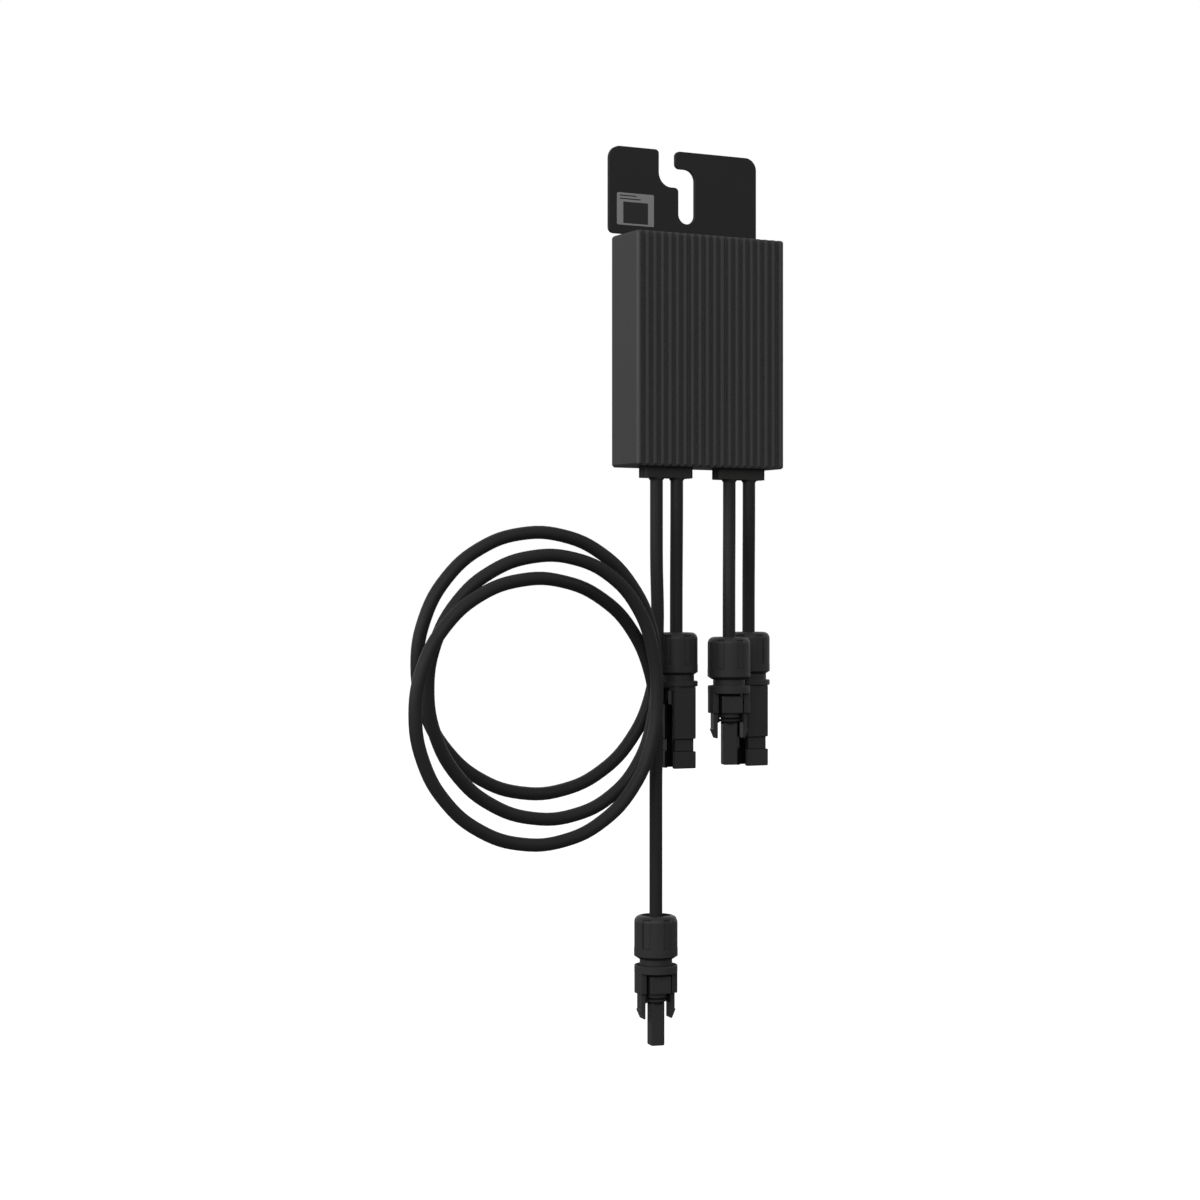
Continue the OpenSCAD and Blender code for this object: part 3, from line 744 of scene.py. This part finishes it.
def makeHousing(setup):
    half, front, back = setup["width"] / 2, setup["frontY"], setup["backY"]
    low, high = setup["topZ"] - setup["height"], setup["topZ"]
    clearSelection()
    middleY = (front + back) / 2
    bpy.ops.mesh.primitive_plane_add(size=2 * half * mm, location=(0, middleY * mm, low * mm))
    bpy.ops.transform.resize(value=(1, (back - front) / (2 * half), 1))
    housing = takeNew("ribbedHousing")
    middles = [(i - (setup["grooves"] - 1) / 2) * setup["pitch"] for i in range(setup["grooves"])]
    for middle in middles:
        for offset in (setup["grooveMouth"], setup["grooveFloor"]):
            for side in (-1, 1):
                sliceAt(housing, (middle + side * offset / 2, 0, 0), (1, 0, 0))
    floorHalf = setup["grooveFloor"] / 2 + slack / 2

    def onFloor(point):
        return near(point.y, front) and any(near(point.x, middle, floorHalf) for middle in middles)

    pickPoints(housing, onFloor)
    movePicked(y=setup["grooveDepth"])
    pickFaces(housing, lambda mid, normal: True)
    extrudePicked(z=setup["height"])
    cleanMesh(housing)
    bevel = setup["bevel"]
    for side in (-1, 1):
        sliceAt(housing, (side * half, front + bevel, 0), (side, -1, 0), clear=True)
    for z, up in ((high, 1), (low, -1)):
        sliceAt(housing, (0, front, z - up * bevel), (0, -1, up), clear=True)
        for side in (-1, 1):
            sliceAt(housing, (side * half, 0, z - up * bevel), (side, 0, up), clear=True)
    cleanMesh(housing)
    roundEdges(housing, setup["rounding"], angle=20)
    cavityX, cavityY, rim = setup["cavityX"], setup["cavityY"], setup["rim"]
    cavity = addBlock("cavity", (-cavityX, cavityX), (cavityY, back + past), setup["cavityZs"])
    combine(housing, cavity, "DIFFERENCE")
    postSets = (setup["coverPosts"], setup["boardPosts"])
    for posts in postSets:
        for place in posts["places"]:
            topY = posts["topY"]
            post = addPin("post", place, posts["radius"], (cavityY - overlap, topY + past / 2))
            combine(housing, post, "UNION")
            trim = addPin("postEnd", place, posts["radius"] + overlap, (topY, topY + past))
            combine(housing, trim, "DIFFERENCE")
    combine(housing, addBlock("coolingPad", *setup["coolingPad"]), "UNION")
    recessYs = (setup["recessY"], back + past)
    recess = addBlock("recess", (rim - half, half - rim), recessYs, (low + rim, high - rim))
    combine(housing, recess, "DIFFERENCE")
    for posts in postSets:
        for place in posts["places"]:
            topY = posts["topY"]
            holeYs = (topY - posts["depth"], topY + past / 2)
            combine(housing, addPin("postHole", place, posts["hole"], holeYs, sides=32), "DIFFERENCE")
    for side in (-1, 1):
        zs = (low - past, setup["cavityZs"][0] + overlap)
        hole = makeGlandBlock("glandHole", side * glandSetup["middleX"], glandSetup, glandSetup["fit"], zs)
        combine(housing, hole, "DIFFERENCE")

    # faces of the front upright edges get a painted highlight
    def onEdge(mid, normal):
        slant = setup["edgeSlant"]
        upright = abs(normal.z) < slant and abs(normal.x) > slant and normal.y < -slant
        return 1.0 if upright and abs(mid.x) > half - bevel - slack else 0.0

    markFaces(housing, "paintedHighlight", onEdge)
    return housing


def makeGland(name, middleX, setup):
    gland = makeGlandBlock(name, middleX, setup, 0, (setup["lowZ"], setup["highZ"]))
    x, y = middleX + setup["shift"], setup["middleY"]
    for side in (-1, 1):
        end = x + side * setup["width"] / 2
        for front, rear in setup["grooves"]:
            xs = (end - setup["grooveDepth"], end + setup["grooveDepth"])
            zs = (setup["lowZ"] - past, setup["grooveTop"])
            combine(gland, addBlock("gripGroove", xs, (y + front, y + rear), zs), "DIFFERENCE")
    roundEdges(gland, setup["rounding"], angle=50)
    wide, deep, tall = setup["flange"]
    flangeTop = setup["highZ"] + tall
    flangeYs = (setup["flangeY"] - deep / 2, setup["flangeY"] + deep / 2)
    flangeZs = (setup["highZ"] - overlap, flangeTop)
    combine(gland, addBlock("flange", (x - wide / 2, x + wide / 2), flangeYs, flangeZs), "UNION")
    holeZs = (setup["lowZ"] - past, flangeTop + past)
    for side in (-1, 1):
        cableX = middleX + side * setup["cablePitch"] / 2
        boot = addTurned("boot", setup["boot"], sides=48)
        combine(gland, placeCopyAndDrop(boot, (cableX, y, setup["lowZ"])), "UNION")
        combine(gland, addRod("cableHole", (cableX, y), setup["holeRadius"], holeZs), "DIFFERENCE")
    cleanMesh(gland, dissolve=False)
    return gland


fitPiece(makeHousing(housingSetup), "cast_black", "housing")
for name, side in (("left", -1), ("right", 1)):
    gland = makeGland(name + "Gland", side * glandSetup["middleX"], glandSetup)
    fitPiece(gland, "rubber_black", name + "_gland")
print("housing and glands ready")


# frame bracket, cover, screws and label

bracketSetup = {
    "width": 75.0,
    "thickness": 2.0,
    "topZ": 27.7,
    "shoulderZ": -10.6,
    "tabWidth": 49.0,
    "tabZ": -66.0,
    "mouth": (-12.65, -4.15),
    "seat": (-2.75, 5.75),
    "seatZ": -4.25,
    "ledgeZ": 11.5,
    "lipZ": 20.0,
    "radii": {"plateFoot": 2.5, "plateTop": 5.5, "mouthLeft": 1.7, "mouthRight": 2.2, "lip": 2.2, "bend": 6.3,
              "ledge": 1.8, "throat": 5.0, "tabTop": 2.0, "tabFoot": 4.0, "seat": 4.24},
    "rounding": 0.25,
}
coverSetup = {
    "halfWidth": 35.15,
    "zs": (-111.3, -14.2),
    "ys": (-5.0, -2.0),
    "rounding": 0.4,
}
screwSetup = {
    "bracket": {"head": 3.0, "headHeight": 1.7, "shank": 1.5, "length": 5.0, "faceY": 0.0,
                "places": [(x, z) for x in (-18, 18) for z in (-20, -58)]},
    "cover": {"head": 2.8, "headHeight": 1.6, "shank": 1.2, "length": 12.0, "faceY": -2.0,
              "places": housingSetup["coverPosts"]["places"]},
    "recess": (2.6, 0.8, 1.0),  # length, width and depth of the cross recess
    "headEdge": 0.15,
    "tipEdge": 0.4,
    "fit": 0.1,
}
labelSetup = {
    "place": (-24.55, 0.25),
    "size": (18.5, 14.1),
    "thickness": 0.15,
    "backY": -2.0,
    "corner": 0.6,
    "rounding": 0.04,
}


def cutScrewHoles(piece, screw):
    fit = screwSetup["fit"]
    head, shank, length = screw["head"] + fit, screw["shank"] + fit, screw["length"]
    slope = (head - shank) / screw["headHeight"]
    profile = ((head + slope * past, past), (shank, -screw["headHeight"]), (shank, -length - past))
    model = addTurned("screwHole", profile, sides=48, solid=True)
    for x, z in screw["places"]:
        combine(piece, placeCopy(model, "hole", (x, screw["faceY"], z), -90, "X"), "DIFFERENCE")
    bpy.data.objects.remove(model, do_unlink=True)


def bracketCorners(setup):
    # x, z and radius of each rounded corner
    half, tab, radii = setup["width"] / 2, setup["tabWidth"] / 2, setup["radii"]
    (mouthLeft, mouthRight), (seatLeft, seatRight) = setup["mouth"], setup["seat"]
    top, shoulder, ledge, lip = setup["topZ"], setup["shoulderZ"], setup["ledgeZ"], setup["lipZ"]
    pairs = (
        (half, shoulder, radii["plateFoot"]), (half, top, radii["plateTop"]),
        (tab, shoulder, radii["tabTop"]), (tab, setup["tabZ"], radii["tabFoot"]),
    )
    corners = [(side * x, z, radius) for x, z, radius in pairs for side in (-1, 1)]
    corners += [
        (mouthLeft, top, radii["mouthLeft"]), (mouthLeft, ledge, radii["bend"]),
        (seatLeft, ledge, radii["ledge"]), (seatRight, lip, radii["throat"]),
        (mouthRight, lip, radii["lip"]), (mouthRight, top, radii["mouthRight"]),
    ]
    return corners + [(x, setup["seatZ"], radii["seat"]) for x in setup["seat"]]


def arcSteps(radius):
    return max(8, round(radius * 2.5))  # more segments on a wider corner


def makeBracket(setup):
    half, tab, front = setup["width"] / 2, setup["tabWidth"] / 2, -setup["thickness"]
    bracket = addBlock("frameBracket", (-half, half), (front, 0), (setup["shoulderZ"], setup["topZ"]))
    for side in (-1, 1):
        sliceAt(bracket, (side * tab, 0, 0), (1, 0, 0))
    pickFaces(bracket, lambda mid, normal: normal.z < -straight and abs(mid.x) < tab)
    extrudePicked(z=setup["tabZ"] - setup["shoulderZ"])
    mouth, seat, ledge, lip = setup["mouth"], setup["seat"], setup["ledgeZ"], setup["lipZ"]
    slots = (
        (mouth, (ledge, setup["topZ"] + past)),
        ((mouth[0], seat[1]), (ledge, lip)),
        (seat, (setup["seatZ"], lip)),
    )
    for xs, zs in slots:
        combine(bracket, addBlock("slot", xs, (front - past, past), zs), "DIFFERENCE")
    cleanMesh(bracket)
    for x, z, radius in bracketCorners(setup):
        pickEdges(bracket, lambda mid, way: abs(way.y) > straight and near(mid.x, x) and near(mid.z, z))
        bevelPicked(radius, arcSteps(radius))
    cleanMesh(bracket)
    roundEdges(bracket, setup["rounding"], angle=60)
    cutScrewHoles(bracket, screwSetup["bracket"])
    return bracket


def makeCover(setup):
    half = setup["halfWidth"]
    cover = addBlock("rearCover", (-half, half), setup["ys"], setup["zs"])
    roundEdges(cover, setup["rounding"], angle=60)
    cutScrewHoles(cover, screwSetup["cover"])
    thread = screwSetup["bracket"]["shank"] - screwSetup["fit"] / 2
    cutScrewHoles(cover, {**screwSetup["bracket"], "head": thread, "shank": thread})
    return cover


def makeScrews(name, screw):
    length, width, depth = screwSetup["recess"]
    head, shank, end = screw["head"], screw["shank"], -screw["length"]
    headEdge, tipEdge = screwSetup["headEdge"], screwSetup["tipEdge"]
    profile = (
        (head - headEdge, 0), (head, -headEdge), (shank, -screw["headHeight"]), (shank, end + tipEdge),
        (shank - tipEdge, end),
    )
    model = addTurned("screwModel", profile, sides=48, solid=True)
    for long, short in ((length, width), (width, length)):
        cross = addBlock("cross", (-long / 2, long / 2), (-short / 2, short / 2), (-depth, past))
        combine(model, cross, "DIFFERENCE")
    copies = [placeCopy(model, "screw", (x, screw["faceY"], z), -90, "X") for x, z in screw["places"]]
    bpy.data.objects.remove(model, do_unlink=True)
    return joinCopies(name, copies)


def makeLabel(setup):
    (x, z), (wide, tall) = setup["place"], setup["size"]
    ys = (setup["backY"] - setup["thickness"], setup["backY"])
    label = addBlock("ratingFilm", (x - wide / 2, x + wide / 2), ys, (z - tall / 2, z + tall / 2))
    pickEdges(label, lambda mid, way: abs(way.y) > straight)
    bevelPicked(setup["corner"], cornerSteps)
    roundEdges(label, setup["rounding"], angle=60, segments=1)
    return label


fitPiece(makeBracket(bracketSetup), "sheet_black", "mounting_bracket")
fitPiece(makeCover(coverSetup), "plastic_black", "rear_cover")
fitPiece(makeScrews("bracketScrews", screwSetup["bracket"]), "steel", "bracket_screws")
fitPiece(makeScrews("coverScrews", screwSetup["cover"]), "steel", "cover_screws")
fitPiece(makeLabel(labelSetup), "label_grey", "label")
print("bracket, cover and label ready")


# connectors, heights measured down from the top of the nut

nutSetup = {
    "radius": 9.4,
    "height": 18.5,
    "crown": (2.8, 2.9),  # in from the side, down
    "crownSteps": 7,
    "foot": (1.8, 1.2),
    "holeRadius": 2.95,
    "holeRim": (5.2, 1.4),  # countersink round the cable
    "roof": 3.0,
    "boreRadius": 7.0,
    "sides": 90,
    "grips": 6,
    "gripTurn": 34.0,
    "gripHalf": 12.2,  # degrees
    "gripTop": -1.0,
    "gripEnd": -13.9,
    "gripSlope": 0.4,
    "gripDepth": 0.6,
    "gapRim": 1.4,  # painted shade for this far round the countersink
    "gapShade": 0.95,
    "slopeShade": 0.4,
}
plugSetup = {
    "bodyTop": -21.2,
    "bodyEnd": -33.2,
    "bodyRadius": 9.3,
    "collarEnd": -24.7,
    "coreRadius": 5.2,
    "body": (
        (6.9, -6.0), (6.9, -18.5), (7.0, -18.5), (7.0, -21.2), (9.0, -21.2), (9.3, -21.5), (9.3, -24.4),
        (9.0, -24.7), (5.2, -24.7), (5.2, -33.0), (4.72, -33.2), (4.72, -35.0), (4.5, -35.2), (3.62, -35.2),
        (3.62, -38.0),
    ),
    "bore": ((5.2, -4.0), (5.2, -16.0), (2.95, -16.0), (2.95, -22.0), (2.65, -22.0), (2.65, -58.0)),
    "armIn": 5.6,
    "armHalf": 4.5,
    "tongueHalf": (4.7, 6.4),
    "tongueGap": 1.0,
    "tongueDrop": 0.02,  # keeps its end clear of the ends of the arms
    "tongueRounding": 0.45,
    "fingerX": (5.65, 7.6),
    "fingerHalf": 3.0,
    "fingerHeight": 11.0,
    "barb": (0.5, 4.0, 1.2),
    "fingerRoot": (0.8, -37.3),  # thicker inwards down to this height
    "noseHalf": 3.1,
    "noseCut": 0.8,
    "noseTop": -37.6,
    "noseEnd": -55.8,
    "noseTip": 0.5,
    "rounding": 0.3,
    "flankFrom": 2.0,  # the tongue's sides get painted shade from here outwards
    "rootFrom": 4.0,  # and so do the fingers' roots
    "seatGap": (3.8, -37.7, -35.1),  # radius and ends of the painted shade in the seat round the ring
    "gapShade": 0.85,
    "ringZ": -36.4,
    "ringRounding": 0.1,
    "ring": ((3.67, -0.5), (4.5, -0.5), (4.77, -0.28), (4.55, 0.0), (4.77, 0.28), (4.5, 0.5), (3.67, 0.5)),
    "turns": {"long": -10.0, "middle": -17.0},
}
socketSetup = {
    "shellTop": -23.5,
    "mouth": -59.0,
    "half": (5.7, 8.3),
    "edge": 1.6,
    "notch": (-51.7, -46.2),
    "notchDepth": 1.0,
    "boreRadius": 4.5,
    "neckRadius": 2.65,
    "floor": 6.0,
    "body": (
        (5.2, -6.0), (6.9, -6.0), (6.9, -18.5), (7.8, -18.5), (7.8, -21.1), (9.1, -21.1), (9.4, -21.4),
        (9.4, -23.2), (9.1, -23.5), (2.65, -23.5), (2.65, -22.0), (2.95, -22.0), (2.95, -16.0), (5.2, -16.0),
    ),
    "channel": (-7.0, 0.2),
    "channelDepth": 2.2,
    "windowRear": 3.6,
    "windowEnd": -31.5,
    "brow": 0.4,
    "barYs": (-4.9, -1.9),
    "barZs": (-31.3, -25.3),
    "barBack": 0.5,
    "rounding": 0.35,
    "gapShade": 0.9,
    "seamShade": 0.8,
    "seamTilt": 0.2,  # least share of up or down in the direction of a seam of the notch
    "seamReach": 0.4,
}


def makeNut(setup):
    radius, height, (crownIn, crownDown) = setup["radius"], setup["height"], setup["crown"]
    rimRadius, rimDown = setup["holeRim"]
    profile = [(setup["holeRadius"], -rimDown), (rimRadius, 0)]
    for step in range(setup["crownSteps"] + 1):
        angle = math.pi / 2 * step / setup["crownSteps"]
        profile.append((radius - crownIn * (1 - math.sin(angle)), -crownDown * (1 - math.cos(angle))))
    (footIn, footUp), bore, roof = setup["foot"], setup["boreRadius"], -setup["roof"]
    profile += [
        (radius, setup["gripEnd"]), (radius, footUp - height), (radius - footIn, -height),
        (bore, -height), (bore, roof), (setup["holeRadius"], roof),
    ]
    nut = addTurned("nutModel", profile, setup["sides"])
    spacing = 360 / setup["grips"]

    def onGrip(mid, normal):
        turn = math.degrees(math.atan2(mid.y, mid.x)) - setup["gripTurn"]
        turn = (turn + spacing / 2) % spacing - spacing / 2
        outside = mid.x * normal.x + mid.y * normal.y > 0
        return outside and abs(turn) < setup["gripHalf"] and setup["gripEnd"] < mid.z < setup["gripTop"]

    pickFaces(nut, onGrip)
    bpy.ops.mesh.inset(thickness=setup["gripSlope"] * mm, depth=-setup["gripDepth"] * mm)
    endEdit()

    # painted shade round the countersink and, lighter, on the grip slopes
    def inGap(mid, normal):
        reach = math.hypot(mid.x, mid.y)
        if reach < rimRadius + setup["gapRim"] and mid.z > roof:
            return setup["gapShade"]
        sunk = slack < radius - reach < setup["gripDepth"] - slack
        return setup["slopeShade"] if sunk and setup["gripEnd"] < mid.z < -crownDown else 0.0

    markFaces(nut, "recess", inGap)
    return nut


def makeFinger(setup, side):
    (inner, outer), half = setup["fingerX"], setup["fingerHalf"]
    end = setup["bodyEnd"] - setup["fingerHeight"]
    out, up, tipIn = setup["barb"]
    finger = addBlock("finger", (inner, outer), (-half, half), (end, setup["bodyEnd"] + past / 2))
    sliceAt(finger, (0, 0, end + up), (0, 0, 1))
    pickFaces(finger, lambda mid, normal: normal.x > straight and mid.z < end + up)
    extrudePicked(x=out)
    pickPoints(finger, lambda point: point.x > outer - slack and near(point.z, end))
    movePicked(x=-tipIn - out)
    rootIn, rootEnd = setup["fingerRoot"]
    sliceAt(finger, (0, 0, rootEnd), (0, 0, 1))
    pickFaces(finger, lambda mid, normal: normal.x < -straight and mid.z > rootEnd)
    extrudePicked(x=-rootIn)
    roundEdges(finger, setup["rounding"], angle=25)
    return placeCopyAndDrop(finger, (0, 0, 0), 0 if side > 0 else 180)


def makePlug(setup):
    plug = addTurned("plugModel", setup["body"], solid=True)
    top, end, collarEnd = setup["bodyTop"], setup["bodyEnd"], setup["collarEnd"]
    for side in (-1, 1):
        xs = sorted((side * setup["armIn"], side * (setup["bodyRadius"] + past)))
        arm = addBlock("arm", xs, (-setup["armHalf"], setup["armHalf"]), (end, collarEnd + past / 2))
        armRadius = setup["bodyRadius"] - overlap / 2
        combine(arm, addRod("armRound", (0, 0), armRadius, (end - past, top), sides=96), "INTERSECT")
        roundEdges(arm, setup["rounding"], angle=40)
        combine(plug, arm, "UNION")
        combine(plug, makeFinger(setup, side), "UNION")
    halfX, halfY = setup["tongueHalf"]
    tongueTop = collarEnd - setup["tongueGap"]
    tongueZs = (end - setup["tongueDrop"], tongueTop)
    tongue = addBlock("tongue", (-halfX, halfX), (-halfY, halfY), tongueZs)
    roundEdges(tongue, setup["tongueRounding"], angle=40, segments=3)
    combine(plug, tongue, "UNION")
    half = setup["noseHalf"]
    nose = addBlock("nose", (-half, half), (-half, half), (setup["noseEnd"], setup["noseTop"]))
    pickEdges(nose, lambda mid, way: abs(way.z) > straight)
    bevelPicked(setup["noseCut"], segments=2)
    pickEdges(nose, lambda mid, way: near(mid.z, setup["noseEnd"]))
    bevelPicked(setup["noseTip"], segments=2)
    combine(plug, nose, "UNION")
    combine(plug, addTurned("bore", setup["bore"], sides=48, solid=True), "DIFFERENCE")
    cleanMesh(plug, dissolve=False)
    core = setup["coreRadius"] + slack
    seatRadius, seatLow, seatHigh = setup["seatGap"]
    rootEnd = setup["fingerRoot"][1]

    def inGap(mid, normal):
        reach, x, y = math.hypot(mid.x, mid.y), abs(mid.x), abs(mid.y)
        besideTongue = abs(normal.x) > straight and x < halfX + slack and y > setup["flankFrom"]
        gaps = (
            reach < core and end < mid.z < collarEnd + slack and y < halfY - slack and normal.z < straight,
            besideTongue and end < mid.z < tongueTop,
            normal.z < -straight and near(mid.z, collarEnd, slack),
            reach < seatRadius and seatLow < mid.z < seatHigh,
            setup["rootFrom"] < x < setup["fingerX"][0] and rootEnd - slack < mid.z < end,
            normal.z > straight and near(mid.z, top, slack),
        )  # painted shade in the core, on the tongue sides, under the collar, in the ring seat, at the finger roots and under the nut
        return setup["gapShade"] if any(gaps) else 0.0

    markFaces(plug, "recess", inGap)
    return plug


def makeSocket(setup):
    halfX, halfY = setup["half"]
    top, mouth = setup["shellTop"], setup["mouth"]
    shell = addBlock("socketModel", (-halfX, halfX), (-halfY, halfY), (mouth, top))
    pickEdges(shell, lambda mid, way: abs(way.z) > straight)
    bevelPicked(setup["edge"], cornerSteps)
    low, high = setup["notch"]
    for z in (low, high):
        sliceAt(shell, (0, 0, z), (0, 0, 1))
    pickFaces(shell, lambda mid, normal: abs(normal.z) < slack and low < mid.z < high)
    bpy.ops.mesh.extrude_region_shrink_fatten(
        TRANSFORM_OT_shrink_fatten={"value": -setup["notchDepth"] * mm, "use_even_offset": True}
    )
    endEdit()
    roundEdges(shell, setup["rounding"], angle=60)
    floor, brow = top - setup["floor"], top - setup["brow"]
    combine(shell, addRod("bore", (0, 0), setup["boreRadius"], (mouth - past, floor)), "DIFFERENCE")
    neckBore = addRod("neckBore", (0, 0), setup["neckRadius"], (mouth, top + past), sides=48)
    combine(shell, neckBore, "DIFFERENCE")
    front, rear = setup["channel"]
    depthX = halfX - setup["channelDepth"]
    for turn in (0, 180):
        for rearY, lowZ in ((rear, mouth - past), (setup["windowRear"], setup["windowEnd"])):
            cutter = addBlock("channel", (-halfX - past, -depthX), (front, rearY), (lowZ, brow))
            combine(shell, placeCopyAndDrop(cutter, (0, 0, 0), turn), "DIFFERENCE")
        barXs = (setup["barBack"] - halfX, 2 * overlap - depthX)
        bar = addBlock("bar", barXs, setup["barYs"], setup["barZs"])
        roundEdges(bar, setup["rounding"], angle=60)
        combine(shell, placeCopyAndDrop(bar, (0, 0, 0), turn), "UNION")
    combine(shell, addTurned("socketBody", setup["body"]), "UNION")
    cleanMesh(shell, dissolve=False)
    (barFront, barRear), (barLow, barHigh) = setup["barYs"], setup["barZs"]

    # painted shade in the side channels and the bore, and along the seams of the notch
    def inChannel(mid, normal):
        x, y = abs(mid.x), -mid.y if mid.x > 0 else mid.y
        onBar = barFront < y < barRear and barLow < mid.z < barHigh
        across = front < y < (setup["windowRear"] if mid.z > setup["windowEnd"] else rear)
        cut = depthX - slack < x < halfX - 2 * slack and across and mouth < mid.z < brow
        bored = math.hypot(mid.x, mid.y) < setup["boreRadius"] + slack and mid.z < floor
        sunk = x < halfX - 3 * slack and abs(y) < halfY - 3 * slack and low - slack < mid.z < high + slack
        atSeam = abs(normal.z) > setup["seamTilt"] and min(mid.z - low, high - mid.z) < setup["seamReach"]
        if sunk and atSeam and not bored:
            return setup["seamShade"]
        return setup["gapShade"] if (cut and not onBar) or (bored and mid.z > mouth + slack) else 0.0

    markFaces(shell, "recess", inChannel)
    return shell


nutModel = makeNut(nutSetup)
plugModel = makePlug(plugSetup)
socketModel = makeSocket(socketSetup)
ringModel = addTurned("ringModel", plugSetup["ring"], sides=64)
roundEdges(ringModel, plugSetup["ringRounding"], angle=25)
for name, place in nutTops.items():
    nut = placeCopy(nutModel, name + "Nut", place)
    fitPiece(nut, "plastic_black", name + "_nut")
    if name in plugSetup["turns"]:
        ending = placeCopy(plugModel, name + "Plug", place, plugSetup["turns"][name])
        fitPiece(ending, "plastic_black", name + "_plug")
        ring = placeCopy(ringModel, name + "Ring", (place[0], place[1], place[2] + plugSetup["ringZ"]))
        fitPiece(ring, "rubber_black", name + "_ring")
    else:
        ending = placeCopy(socketModel, name + "Socket", place)
        fitPiece(ending, "plastic_black", name + "_socket")
for model in (nutModel, plugModel, socketModel, ringModel):
    bpy.data.objects.remove(model, do_unlink=True)
print("connectors ready")


# leads join the object

for name, cable in cables.items():
    dress(cable, "cable_black")
    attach(cable, "root")
    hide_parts(name + "_cable")
print("leads joined")


# studio

studioSetup = {
    "aim": (0, -0.02, -0.16),
    "lamps": {
        "keyLamp": {"place": (-1.5, -0.42, 0.3), "size": 1.0, "power": 14.5},
        "rimLamp": {"place": (-1.25, 0.5, 0.2), "size": 0.5, "power": 3.0},
        "fillLamp": {"place": (-0.9, -1.6, 0.6), "size": 1.4, "power": 17.0},
    },
    "sky": 1.0,
    "floorZ": -0.72,
    "floorSize": 30.0,
    "floorSeen": grey(0.86),
    "floorLight": grey(0.12),  # little light comes back up from it
    "floorRough": 0.9,
    "floorGlow": 0.2,
}


def addLamp(name, lampSetup, aim):
    data = bpy.data.lights.new(name, "AREA")
    data.shape = "DISK"
    data.size = lampSetup["size"]
    data.energy = lampSetup["power"]
    lamp = bpy.data.objects.new(name, data)
    lamp.location = lampSetup["place"]
    way = Vector(aim) - Vector(lampSetup["place"])
    lamp.rotation_euler = way.to_track_quat("-Z", "Y").to_euler()
    bpy.context.scene.collection.objects.link(lamp)


def makeWorld(setup):
    world = bpy.data.worlds.new("studio")
    bpy.context.scene.world = world
    world.use_nodes = True
    sky = world.node_tree.nodes["Background"]
    sky.inputs["Color"].default_value = (1, 1, 1, 1)
    sky.inputs["Strength"].default_value = setup["sky"]


def makeFloor(setup):
    clearSelection()
    bpy.ops.mesh.primitive_plane_add(size=setup["floorSize"], location=(0, 0, setup["floorZ"]))
    floor = bpy.context.object
    floor.name = "floor"
    material = bpy.data.materials.new("paleFloor")
    material.use_nodes = True
    nodes, links = material.node_tree.nodes, material.node_tree.links
    shader = nodes["Principled BSDF"]
    pale = addColourMix(nodes)
    pale.inputs["A"].default_value = (*setup["floorLight"], 1)
    pale.inputs["B"].default_value = (*setup["floorSeen"], 1)
    shader.inputs["Roughness"].default_value = setup["floorRough"]
    shader.inputs["Emission Color"].default_value = (1, 1, 1, 1)
    paths = nodes.new("ShaderNodeLightPath")
    glow = addMath(nodes, "MULTIPLY", setup["floorGlow"])
    wire(
        links,
        (paths, "Is Camera Ray", pale, "Factor"),
        (pale, "Result", shader, "Base Color"),
        (paths, "Is Camera Ray", glow, 0),
        (glow, 0, shader, "Emission Strength"),
    )
    floor.data.materials.append(material)


makeWorld(studioSetup)
makeFloor(studioSetup)
for name, lampSetup in studioSetup["lamps"].items():
    addLamp(name, lampSetup, studioSetup["aim"])
bpy.context.scene.view_settings.view_transform = "Standard"
print("studio ready")
